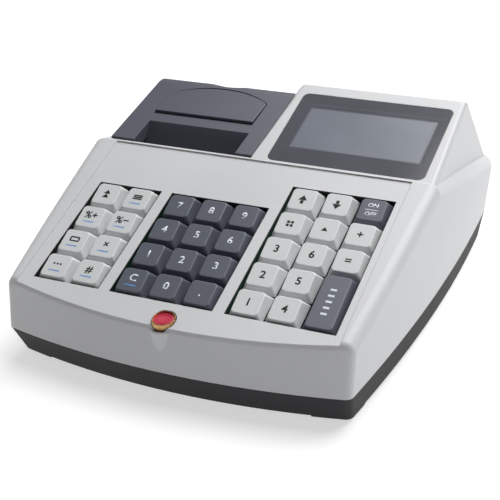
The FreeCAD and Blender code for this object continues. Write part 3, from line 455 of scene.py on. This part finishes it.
@dataclass(frozen=True)
class TurnedMetal:
    """Plated or turned metal with fine lines along one axis and faint handling marks."""

    name: str
    colour: tuple
    roughness: float = 0.28
    lines: float = 4000.0
    along: tuple = (0.04, 1.0, 1.0)
    edge: float = 0.1 * MM
    depth: float = 0.01 * MM
    smudge_scale: float = 120.0
    line_sheen: float = 0.2
    smudge_sheen: float = 0.15

    def build(self) -> bpy.types.Material:
        """Material of this finish."""
        shader = Shader(self.name)
        place = shader.place()
        stretched = shader.node("ShaderNodeMapping", None, {"Vector": place, "Scale": self.along})
        brushed = shader.noise(stretched.outputs["Vector"], self.lines, 2.0)
        cloud = shader.noise(place, self.smudge_scale, 2.0)
        colour = shader.blend(
            brushed.ramp(0.2, 0.8), tint(self.colour, 0.8), tint(self.colour, 1.1))
        sheen = (brushed - 0.5) * self.line_sheen
        shader.feed(shader.surface.inputs["Base Color"], colour)
        shader.fix(Metallic=1.0)
        shader.feed(shader.surface.inputs["Roughness"],
                    self.roughness + sheen + (cloud - 0.5) * self.smudge_sheen)
        shader.relief(brushed, self.depth, self.edge)
        return shader.material


@dataclass(frozen=True)
class DisplayWindow:
    """Dark printed window with a clear field that shows the display glass."""

    name: str
    bezel: tuple
    glass: tuple
    start: Vector
    slope: float
    middle: tuple
    half: tuple
    blur: float = 0.5 * MM
    border_share: float = 0.35
    glint_gap: float = 3.4 * MM
    glint_width: float = 0.9 * MM
    glint_share: float = 0.3
    roughness: float = 0.10
    field_sheen: float = 0.16
    cloud_sheen: float = 0.04
    cloud_scale: float = 30.0
    depth: float = 0.01 * MM
    edge: float = 0.4 * MM

    def build(self) -> bpy.types.Material:
        """Material of this finish."""
        shader = Shader(self.name)
        place = shader.place(self.slope, self.start)
        across, along, _ = shader.axes(place)
        sideways = abs(across - self.middle[0])
        outside = (sideways - self.half[0]).most(abs(along - self.middle[1]) - self.half[1])
        field_mask = 1 - outside.ramp(-self.blur, self.blur)
        border = field_mask - (1 - outside.ramp(-self.blur * 3, -self.blur))
        glint_place = abs(along - self.middle[1] - self.half[1] - self.glint_gap)
        glint_run = sideways.below(self.half[0] + self.glint_gap)
        glint = (1 - glint_place.ramp(0.0, self.glint_width)) * glint_run
        cloud = shader.noise(place, self.cloud_scale, 2.0)
        glass = shader.blend(cloud.ramp(0.3, 0.7), tint(self.glass, 0.96), tint(self.glass, 1.05))
        dark = shader.blend(cloud.ramp(0.3, 0.7), tint(self.bezel, 0.94), tint(self.bezel, 1.06))
        colour = shader.blend(field_mask, dark, glass)
        colour = shader.blend(border * self.border_share, colour, tint(self.bezel, 0.8))
        colour = shader.blend(glint * self.glint_share, colour, self.glass)
        shader.feed(shader.surface.inputs["Base Color"], colour)
        shader.feed(shader.surface.inputs["Roughness"],
                    self.roughness + field_mask * self.field_sheen + cloud * self.cloud_sheen)
        shader.fix(Coat_Weight=0.6, Coat_Roughness=0.05)
        shader.relief(cloud, self.depth, self.edge)
        return shader.material


@dataclass(frozen=True)
class CircuitBoard:
    """Solder mask over tracks, with tinned pads."""

    name: str
    mask: tuple = (0.012, 0.10, 0.045, 1.0)
    track: tuple = (0.03, 0.20, 0.09, 1.0)
    pad: tuple = (0.62, 0.58, 0.50, 1.0)
    pitch: float = 2.54 * MM
    pad_reach: float = 0.13
    track_scale: float = 260.0
    track_turns: float = 40.0
    track_share: float = 0.55
    depth: float = 0.04 * MM

    def build(self) -> bpy.types.Material:
        """Material of this finish."""
        shader = Shader(self.name)
        place = shader.place()
        cells = shader.node("ShaderNodeTexVoronoi", {"distance": "CHEBYCHEV"},
                            {"Vector": place, "Scale": 1 / (self.pitch * 2), "Randomness": 0.35})
        reach = Value(shader, cells.outputs["Distance"])
        pads = reach.below(self.pad_reach)
        tracks = shader.noise(place, self.track_scale, 0.0)
        lines = (tracks * self.track_turns).sine().above(self.track_share)
        colour = shader.blend(lines, self.mask, self.track)
        colour = shader.blend(pads, colour, self.pad)
        shader.feed(shader.surface.inputs["Base Color"], colour)
        shader.feed(shader.surface.inputs["Metallic"], pads * 0.9)
        shader.feed(shader.surface.inputs["Roughness"], 0.35 - pads * 0.1)
        shader.relief(lines * 0.5 + pads * 0.5, self.depth)
        return shader.material


@dataclass(frozen=True)
class PrintedInk:
    """Pad-printed ink, duller than the key and a little uneven."""

    name: str
    colour: tuple
    grain: float = KEY_GRAIN
    roughness: float = 0.55
    specular: float = 0.25
    depth: float = 0.006 * MM

    def build(self) -> bpy.types.Material:
        """Material of this finish."""
        shader = Shader(self.name)
        fine = shader.noise(shader.place(), self.grain, 2.0)
        colour = shader.blend(
            fine.ramp(0.3, 0.7), tint(self.colour, 0.85), tint(self.colour, 1.15))
        shader.feed(shader.surface.inputs["Base Color"], colour)
        shader.feed(shader.surface.inputs["Roughness"], self.roughness + (fine - 0.5) * 0.1)
        shader.fix(Specular_IOR_Level=self.specular)
        shader.relief(fine, self.depth)
        return shader.material


BODY_GREY = srgb(195, 196, 198)
KEY_WARM = srgb(205, 207, 208)
KEY_DARK = srgb(86, 90, 101)
COVER_GREY = srgb(77, 79, 90)
TRAY_GREY = srgb(36, 34, 38)
INK_BLACK = (0.012, 0.012, 0.014, 1.0)
INK_WHITE = (0.70, 0.73, 0.80, 1.0)
INK_BLUE = (0.13, 0.30, 0.66, 1.0)
RIM_GREEN = (0.006, 0.045, 0.022, 1.0)
GREEN_EDGES = (-36.6 * MM, 27.35 * MM)

BEZEL_GREY = srgb(84, 85, 92)
FIELD_GREY = srgb(106, 111, 122)
CHASSIS_BLACK = (0.02, 0.02, 0.022, 1.0)
SOCKET_BLACK = (0.025, 0.025, 0.028, 1.0)
FOOT_BLACK = (0.022, 0.022, 0.024, 1.0)
ROLLER_BLACK = (0.03, 0.03, 0.034, 1.0)
GEAR_WHITE = (0.74, 0.72, 0.66, 1.0)
SEAL_RED = (0.47, 0.020, 0.055, 1.0)
SEAL_BRASS = (0.50, 0.30, 0.14, 1.0)
PINION_BRASS = (0.62, 0.43, 0.17, 1.0)
LINES_ROUND_Z = (1.0, 1.0, 0.2)

# Middle and half size of the clear field of each display, in the plane of its window.
FRONT_FIELD = ((50.3 * MM, 34.5 * MM), (37.6 * MM, 18.5 * MM))
REAR_FIELD = ((48.2 * MM, 30.45 * MM), (31.2 * MM, 8.6 * MM))

# Nodes whose finish isn't the one of their record slot.
OWN_FINISH = {"customer_window": "rear_window"}

FINISHES = {finish.name: finish for finish in (
    CaseShell("case_plastic", BODY_GREY, 0.42, edge=0.4 * MM, wells=WELLS),
    MouldedPlastic("tray_plastic", TRAY_GREY, 0.6, edge=0.4 * MM, specular=0.2),
    MouldedPlastic("cover_plastic", COVER_GREY, 0.46, edge=0.4 * MM),
    MouldedPlastic("lever_plastic", COVER_GREY, 0.44, edge=0.3 * MM),
    MouldedPlastic("key_light", KEY_WARM, 0.4, KEY_GRAIN, KEY_DEPTH, edge=0.3 * MM),
    MouldedPlastic("key_dark", KEY_DARK, 0.44, KEY_GRAIN, KEY_DEPTH, edge=0.3 * MM),
    MouldedPlastic("chassis_plastic", CHASSIS_BLACK, 0.5, edge=0.3 * MM),
    WellFrame("keyboard_black", BLACK, RIM_GREEN, GREEN_EDGES),
    MouldedPlastic("socket_black", SOCKET_BLACK, 0.42, edge=0.2 * MM),
    MouldedPlastic("gear_plastic", GEAR_WHITE, 0.32),
    MouldedPlastic("rubber", FOOT_BLACK, 0.8, grain=900.0, depth=0.06 * MM),
    MouldedPlastic("roller_rubber", ROLLER_BLACK, 0.7, grain=1200.0),
    MouldedPlastic("seal_red", SEAL_RED, 0.38, grain=1100.0, coat=0.3),
    TurnedMetal("screw_steel", (0.50, 0.50, 0.52, 1.0)),
    TurnedMetal("cutter_steel", (0.62, 0.62, 0.64, 1.0), 0.2),
    TurnedMetal("shaft_steel", (0.60, 0.60, 0.62, 1.0), 0.22),
    TurnedMetal("motor_steel", (0.48, 0.48, 0.50, 1.0), 0.35),
    TurnedMetal("pinion_brass", PINION_BRASS),
    TurnedMetal("head_aluminium", (0.66, 0.67, 0.69, 1.0), 0.34),
    TurnedMetal("seal_brass", SEAL_BRASS, 0.3, 1800.0, LINES_ROUND_Z),
    CircuitBoard("board_green"),
    DisplayWindow("window_gloss", BEZEL_GREY, FIELD_GREY, HOOD_START, HOOD_SLOPE, *FRONT_FIELD),
    DisplayWindow("rear_window", BEZEL_GREY, FIELD_GREY, HOOD_BACK_START, HOOD_BACK_SLOPE,
                  *REAR_FIELD),
    MouldedPlastic("display_glass", srgb(120, 126, 140), 0.2, depth=0.004 * MM, coat=0.4),
    PrintedInk("ink_black", INK_BLACK),
    PrintedInk("ink_white", INK_WHITE),
    PrintedInk("ink_blue", INK_BLUE),
)}


@dataclass
class Paintbox:
    """Materials of the object, made once each."""

    made: dict = field(default_factory=dict)

    def get(self, name: str) -> bpy.types.Material:
        """Material of a finish, built when it is first asked for.

        Args:
            name: Name of the finish.

        Returns:
            The material.
        """
        if name not in self.made:
            self.made[name] = FINISHES[name].build()
        return self.made[name]

    def dress_frame(self) -> None:
        """Give every carried-over node the material of its record slot."""
        for part in frame["record"]["subparts"]:
            node = frame["nodes"][part["node"]]
            material = self.get(OWN_FINISH.get(part["node"], part["material_slot"]))
            node.data.materials.clear()
            node.data.materials.append(material)
            log.info("dressed %s in %s", part["node"], part["material_slot"])


@dataclass
class Workshop:
    """Turns finished meshes into pieces that ride on a body."""

    paints: Paintbox

    def piece(self, name: str, mesh: bmesh.types.BMesh, body: str, slot: str,
              finishes: tuple, smooth: bool = True) -> bpy.types.Object:
        """Make an object of a mesh.

        Args:
            name: Name of the piece.
            mesh: Finished mesh, freed here.
            body: Body that it rides on.
            slot: Slot of the record; not used.
            finishes: Names of its finishes, by material index.
            smooth: Whether its faces are smooth up to sharp edges.

        Returns:
            The new object.
        """
        data = bpy.data.meshes.new(name)
        bmesh.ops.recalc_face_normals(mesh, faces=mesh.faces)
        mesh.to_mesh(data)
        mesh.free()
        for finish in finishes:
            data.materials.append(self.paints.get(finish))
        thing = bpy.data.objects.new(name, data)
        bpy.context.scene.collection.objects.link(thing)
        if smooth:
            data.shade_smooth()
            data.set_sharp_from_angle(angle=SHARP_ANGLE)
        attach(thing, body)
        log.info("built %s on %s", name, body)
        return thing


class Mark(Enum):
    """Shapes of the printed marks beside figures and signs."""

    ARROW_UP = "arrow_up"
    ARROW_DOWN = "arrow_down"
    DOUBLE_UP = "double_up"
    LINES = "lines"
    BLOCK = "block"
    FRAME = "frame"
    TRIANGLE = "triangle"
    DOTS = "dots"
    STACK = "stack"
    RULE = "rule"


@dataclass(frozen=True)
class Legend:
    """What one key has printed on it, and whether a small blue legend stands below."""

    text: str = ""
    mark: Mark | None = None
    height: float = 4.6 * MM
    second: bool = False


LEGENDS = {
    "key_feed": Legend(mark=Mark.DOUBLE_UP),
    "key_mode": Legend(mark=Mark.LINES, second=True),
    "key_percent_plus": Legend("%+", second=True),
    "key_percent_minus": Legend("%−", second=True),
    "key_price": Legend(mark=Mark.FRAME, second=True),
    "key_void": Legend("×", second=True),
    "key_function": Legend(mark=Mark.DOTS, second=True),
    "key_quantity": Legend("#", second=True),
    "key_clear": Legend("C", second=True),
    "key_point": Legend("."),
    "key_arrow_up": Legend(mark=Mark.ARROW_UP),
    "key_arrow_down": Legend(mark=Mark.ARROW_DOWN),
    "key_power": Legend("ON\nOFF", Mark.RULE, height=2.7 * MM),
    "key_department": Legend(mark=Mark.BLOCK),
    "key_lookup": Legend(mark=Mark.TRIANGLE),
    "key_pay": Legend("+"),
    "key_subtotal": Legend("="),
    "key_total": Legend(mark=Mark.STACK),
}
LEGENDS.update({f"key_{figure}": Legend(str(figure)) for figure in range(10)})
LEGENDS.update({f"key_dept_{figure}": Legend(str(figure)) for figure in range(1, 7)})


@dataclass
class Keyboard:
    """Printed legends on the key tops."""

    shop: Workshop
    lift: float = 0.02 * MM
    ink: float = 0.03 * MM
    flat_limit: float = math.radians(1.5)
    stroke: float = 0.85 * MM
    squash: float = 0.78
    mark_share: float = 0.9
    letter_share: float = 1.35
    letter_bold: float = 0.03
    line_gap: float = 1.6
    second_rise: float = 1.2 * MM
    second_y: float = -3.2 * MM
    second_bar: tuple = (0.6 * MM, 5.2 * MM, 0.7 * MM)
    second_dot: tuple = (-2.9 * MM, 0.8 * MM, 0.8 * MM)

    def top(self, node: str) -> Matrix:
        """Place of a key's flat top.

        Args:
            node: Name of the key's node.

        Returns:
            Matrix with its origin in the middle of the top and Z out of it.
        """
        mesh = frame["nodes"][node].data
        out = Vector((0.0, -math.sin(PANEL_SLOPE), math.cos(PANEL_SLOPE)))
        upward = [face for face in mesh.polygons if face.normal.dot(out) > UPWARD]
        normal = max(upward, key=lambda face: face.area).normal.copy()
        flat = [face for face in upward if face.normal.angle(normal) < self.flat_limit]
        area = sum(face.area for face in flat)
        middle = sum((face.center * face.area for face in flat), Vector()) / area
        right = Vector((1.0, 0.0, 0.0))
        up = normal.cross(right)
        place = Matrix((right, up, normal)).transposed().to_4x4()
        place.translation = middle + normal * self.lift
        return place

    def bar(self, mesh: bmesh.types.BMesh, x: float, y: float, width: float,
            height: float, turn: float = 0.0) -> None:
        """Add a flat bar of ink.

        Args:
            mesh: Mesh to add to.
            x: Middle across.
            y: Middle up.
            width: Full width.
            height: Full height.
            turn: Turn in radians.
        """
        place = Matrix.Translation((x, y, 0.0)) @ Matrix.Rotation(turn, 4, "Z")
        place = place @ Matrix.Diagonal((width / 2, height / 2, 1.0, 1.0))
        bmesh.ops.create_grid(mesh, x_segments=1, y_segments=1, size=1.0, matrix=place)

    def triangle(self, mesh: bmesh.types.BMesh, y: float, radius: float,
                 flip: bool = False) -> None:
        """Add a filled triangle, wider than it is high.

        Args:
            mesh: Mesh to add to.
            y: Middle up.
            radius: Radius of its corners.
            flip: Whether it points down.
        """
        turn = Matrix.Rotation(math.pi if flip else 0.0, 4, "Z")
        squashed = Matrix.Diagonal((1.0, self.squash, 1.0, 1.0))
        place = Matrix.Translation((0.0, y, 0.0)) @ squashed @ turn
        bmesh.ops.create_circle(mesh, cap_ends=True, segments=3, radius=radius, matrix=place)

    def draw_mark(self, mesh: bmesh.types.BMesh, mark: Mark, size: float) -> None:
        """Draw a mark from bars and triangles.

        Args:
            mesh: Mesh to add to.
            mark: Which mark.
            size: Height of the mark.
        """
        line = self.stroke
        if mark in (Mark.ARROW_UP, Mark.ARROW_DOWN):
            down = mark is Mark.ARROW_DOWN
            sign = -1 if down else 1
            self.triangle(mesh, sign * size * 0.18, size * 0.68, down)
            self.bar(mesh, 0.0, -sign * size * 0.40, size * 0.42, size * 0.54)
        elif mark is Mark.DOUBLE_UP:
            self.triangle(mesh, size * 0.30, size * 0.56)
            self.triangle(mesh, -size * 0.36, size * 0.56)
        elif mark is Mark.LINES:
            for step in (-1, 0, 1):
                self.bar(mesh, 0.0, step * size * 0.28, size * 1.3, line)
        elif mark is Mark.BLOCK:
            square = size * 0.38
            for column in (-1, 1):
                for row in (-1, 1):
                    self.bar(mesh, column * size * 0.26, row * size * 0.26, square, square)
        elif mark is Mark.FRAME:
            for sign in (-1, 1):
                self.bar(mesh, 0.0, sign * size * 0.3, size * 1.2, line)
                self.bar(mesh, sign * size * 0.6, 0.0, line, size * 0.6)
        elif mark is Mark.TRIANGLE:
            self.triangle(mesh, -size * 0.08, size * 0.5)
        elif mark is Mark.DOTS:
            for step in (-1, 0, 1):
                self.bar(mesh, step * size * 0.45, 0.0, size * 0.26, size * 0.26)
        elif mark is Mark.STACK:
            for step in range(-2, 3):
                self.bar(mesh, 0.0, step * size * 0.92, size * 0.78, size * 0.30)
        elif mark is Mark.RULE:
            self.bar(mesh, 0.0, 0.0, size * 2.9, line * 0.5)

    def write(self, mesh: bmesh.types.BMesh, text: str, size: float) -> None:
        """Add plain figures, turned into a flat mesh.

        Args:
            mesh: Mesh to add to.
            text: What is printed.
            size: Height of the figures.
        """
        curve = bpy.data.curves.new("figures", "FONT")
        curve.body = text
        curve.size = size * self.letter_share
        curve.space_line = self.line_gap
        curve.align_x = "CENTER"
        curve.align_y = "CENTER"
        curve.offset = size * self.letter_bold
        holder = bpy.data.objects.new("figures", curve)
        bpy.context.scene.collection.objects.link(holder)
        final = holder.evaluated_get(bpy.context.evaluated_depsgraph_get())
        flat = bpy.data.meshes.new_from_object(final)
        mesh.from_mesh(flat)
        bpy.data.objects.remove(holder)
        bpy.data.meshes.remove(flat)

    def print_key(self, node: str, legend: Legend) -> None:
        """Print one key.

        Args:
            node: Name of the key's node.
            legend: What it carries.
        """
        mesh = bmesh.new()
        if legend.mark:
            self.draw_mark(mesh, legend.mark, legend.height * self.mark_share)
        if legend.text:
            self.write(mesh, legend.text, legend.height)
        main = len(mesh.faces)
        if legend.second:
            bmesh.ops.translate(mesh, vec=(0.0, self.second_rise, 0.0), verts=mesh.verts)
            for shape, turn in ((self.second_bar, 0.0), (self.second_dot, math.pi / 4)):
                x, width, height = shape
                self.bar(mesh, x, self.second_y, width, height, turn)
        mesh.faces.ensure_lookup_table()
        for index, face in enumerate(mesh.faces):
            face.material_index = 0 if index < main else 1
        walls = bmesh.ops.extrude_face_region(mesh, geom=list(mesh.faces))
        raised = [item for item in walls["geom"] if isinstance(item, bmesh.types.BMVert)]
        bmesh.ops.translate(mesh, vec=(0.0, 0.0, self.ink), verts=raised)
        bmesh.ops.transform(mesh, matrix=self.top(node), verts=mesh.verts)
        slot = next(part["material_slot"] for part in frame["record"]["subparts"]
                    if part["node"] == node)
        inks = ("ink_black" if slot == "key_light" else "ink_white", "ink_blue")
        name = node.removeprefix("key_")
        self.shop.piece(f"legend_{name}", mesh, f"{node}_cap", slot, inks, smooth=False)

    def build(self) -> None:
        """Print every key that has a legend."""
        for node, legend in LEGENDS.items():
            self.print_key(node, legend)


@dataclass
class Seal:
    """Knurled brass cup with a stamped red seal at the front edge."""

    shop: Workshop
    knurls: int = 44
    groove: float = 0.35 * MM
    lean: float = math.radians(7.0)
    rim: float = 0.9 * MM
    weld: float = 0.002 * MM
    wax_steps: int = 48

    def place(self) -> tuple:
        """Middle of the cup's top, its radius and its height, from the frame."""
        low, high = (Vector(corner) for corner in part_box("seal_cup"))
        radius = (high.x - low.x) / 2
        up = Vector((0.0, -math.sin(self.lean), math.cos(self.lean)))
        height = ((high.z - low.z) - 2 * radius * math.sin(self.lean)) / math.cos(self.lean)
        middle = (low + high) / 2 + up * height / 2
        return middle, radius, height

    def turned(self, middle: Vector) -> Matrix:
        """Matrix from a profile about Z to the cup's own place.

        Args:
            middle: Middle of the cup's top.

        Returns:
            The matrix.
        """
        return Matrix.Translation(middle) @ Matrix.Rotation(self.lean, 4, "X")

    def spun(self, profile: list, steps: int) -> bmesh.types.BMesh:
        """Spin a profile about Z.

        Args:
            profile: Radius and height of each point.
            steps: Steps of the full turn.

        Returns:
            The closed mesh.
        """
        mesh = bmesh.new()
        verts = [mesh.verts.new((radius, 0.0, height)) for radius, height in profile]
        edges = [mesh.edges.new(pair) for pair in zip(verts, verts[1:])]
        bmesh.ops.spin(mesh, geom=verts + edges, cent=(0.0, 0.0, 0.0), axis=(0.0, 0.0, 1.0),
                       angle=math.tau, steps=steps, use_merge=True)
        bmesh.ops.remove_doubles(mesh, verts=mesh.verts, dist=self.weld)
        return mesh

    def build(self) -> None:
        """Build the cup and its seal."""
        middle, radius, height = self.place()
        bore = radius - self.rim
        inner = radius - self.groove
        cup = self.spun([
            (bore, -height), (inner, -height), (radius, -height + 0.5 * MM),
            (radius, -0.9 * MM), (inner, -0.45 * MM), (inner, -0.2 * MM),
            (inner - 0.2 * MM, 0.0), (bore + 0.1 * MM, 0.0), (bore, -0.1 * MM), (bore, -height),
        ], self.knurls * 2)
        for vert in cup.verts:
            turn = math.atan2(vert.co.y, vert.co.x) / math.tau * self.knurls * 2
            flank = -height + 0.3 * MM < vert.co.z < -0.7 * MM and vert.co.xy.length > inner
            if flank and round(turn) % 2:
                vert.co.xy = vert.co.xy.normalized() * inner
        bmesh.ops.transform(cup, matrix=self.turned(middle), verts=cup.verts)
        ring = self.shop.piece("knurled_cup", cup, "case", "seal_brass", ("seal_brass",))
        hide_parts("seal_cup")
        below_rim = Vector(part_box("seal_cup")[1]).z - Vector(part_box("seal_wax")[1]).z
        drop = (below_rim - (radius - bore) * math.sin(self.lean)) / math.cos(self.lean)
        wax = self.spun([
            (0.0, -height + 1.2 * MM), (bore, -height + 1.2 * MM), (bore, -drop - 0.15 * MM),
            (bore - 0.5 * MM, -drop), (bore * 0.72, -drop), (bore * 0.68, -drop - 0.3 * MM),
            (bore * 0.60, -drop - 0.3 * MM), (bore * 0.56, -drop - 0.05 * MM),
            (bore * 0.2, -drop - 0.12 * MM), (0.0, -drop - 0.12 * MM),
        ], self.wax_steps)
        bmesh.ops.transform(wax, matrix=self.turned(middle), verts=wax.verts)
        stamped = self.shop.piece("stamped_seal", wax, "case", "seal_red", ("seal_red",))
        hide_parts("seal_wax")


@dataclass(frozen=True)
class Lamp:
    """One soft square light, with its side in metres and its power in watts."""

    name: str
    place: tuple
    size: float
    power: float


LAMPS = (
    Lamp("top_light", (0.40, 0.76, 1.68), 1.6, 51.0),
    Lamp("back_light", (-0.35, 1.8, 1.5), 0.8, 7.5),
    Lamp("right_light", (1.7, 0.15, 0.75), 1.2, 3.5),
    Lamp("left_light", (-1.8, 0.2, 0.9), 1.2, 5.0),
)
WHITE = (1.0, 1.0, 1.0, 1.0)
FLOOR_GREY = (0.52, 0.52, 0.52, 1.0)


@dataclass
class Studio:
    """Pale floor, soft lights and the camera at the photograph's angle."""

    camera_place: Vector = field(default_factory=lambda: Vector((0.2414, -0.5427, 0.3252)))
    look: Vector = field(default_factory=lambda: Vector((-0.3733, 0.8104, -0.4514)))
    roll: float = math.radians(-1.93)
    lens: float = 82.68
    sensor: float = 36.0
    reach: float = 20.0
    floor_size: float = 6.0
    floor_glow: float = 0.60
    floor_roughness: float = 0.7
    sky_glow: float = 0.06
    aim: Vector = field(default_factory=lambda: Vector((0.0, 0.0, 0.05)))

    def build(self) -> None:
        """Build floor, lights, sky and camera."""
        self.floor()
        self.sky()
        for lamp in LAMPS:
            self.light(lamp)
        self.camera()

    def floor(self) -> None:
        """Lay the floor under the feet."""
        mesh = bmesh.new()
        bmesh.ops.create_grid(mesh, x_segments=1, y_segments=1, size=self.floor_size / 2)
        data = bpy.data.meshes.new("floor")
        mesh.to_mesh(data)
        mesh.free()
        shader = Shader("pale_floor")
        shader.fix(Base_Color=FLOOR_GREY, Emission_Color=WHITE,
                   Emission_Strength=self.floor_glow, Roughness=self.floor_roughness)
        data.materials.append(shader.material)
        floor = bpy.data.objects.new("floor", data)
        bpy.context.scene.collection.objects.link(floor)

    def sky(self) -> None:
        """Give the surroundings an even pale light."""
        world = bpy.data.worlds.new("studio")
        world.use_nodes = True
        background = world.node_tree.nodes["Background"]
        background.inputs["Color"].default_value = WHITE
        background.inputs["Strength"].default_value = self.sky_glow
        bpy.context.scene.world = world
        bpy.context.scene.view_settings.view_transform = "Standard"

    def light(self, lamp: Lamp) -> None:
        """Add a light that is aimed at the object.

        Args:
            lamp: Which light.
        """
        data = bpy.data.lights.new(lamp.name, "AREA")
        data.size = lamp.size
        data.energy = lamp.power
        made = bpy.data.objects.new(lamp.name, data)
        made.location = lamp.place
        made.rotation_euler = (self.aim - Vector(lamp.place)).to_track_quat("-Z", "Y").to_euler()
        bpy.context.scene.collection.objects.link(made)

    def camera(self) -> None:
        """Place the camera and make it the scene's own."""
        data = bpy.data.cameras.new("camera")
        data.lens = self.lens
        data.sensor_width = self.sensor
        data.clip_end = self.reach
        eye = bpy.data.objects.new("camera", data)
        back = -self.look.normalized()
        right = Vector((0.0, 0.0, 1.0)).cross(back).normalized()
        up = back.cross(right)
        turn = Matrix((right, up, back)).transposed() @ Matrix.Rotation(self.roll, 3, "Z")
        eye.matrix_world = Matrix.Translation(self.camera_place) @ turn.to_4x4()
        bpy.context.scene.collection.objects.link(eye)
        bpy.context.scene.camera = eye


def main() -> None:
    """Dress the frame and add the printed and turned details."""
    logging.basicConfig(level=logging.INFO, format="%(name)s: %(message)s")
    paints = Paintbox()
    paints.dress_frame()
    shop = Workshop(paints)
    Keyboard(shop).build()
    Seal(shop).build()
    Studio().build()
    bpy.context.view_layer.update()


if __name__ == "__main__":
    main()
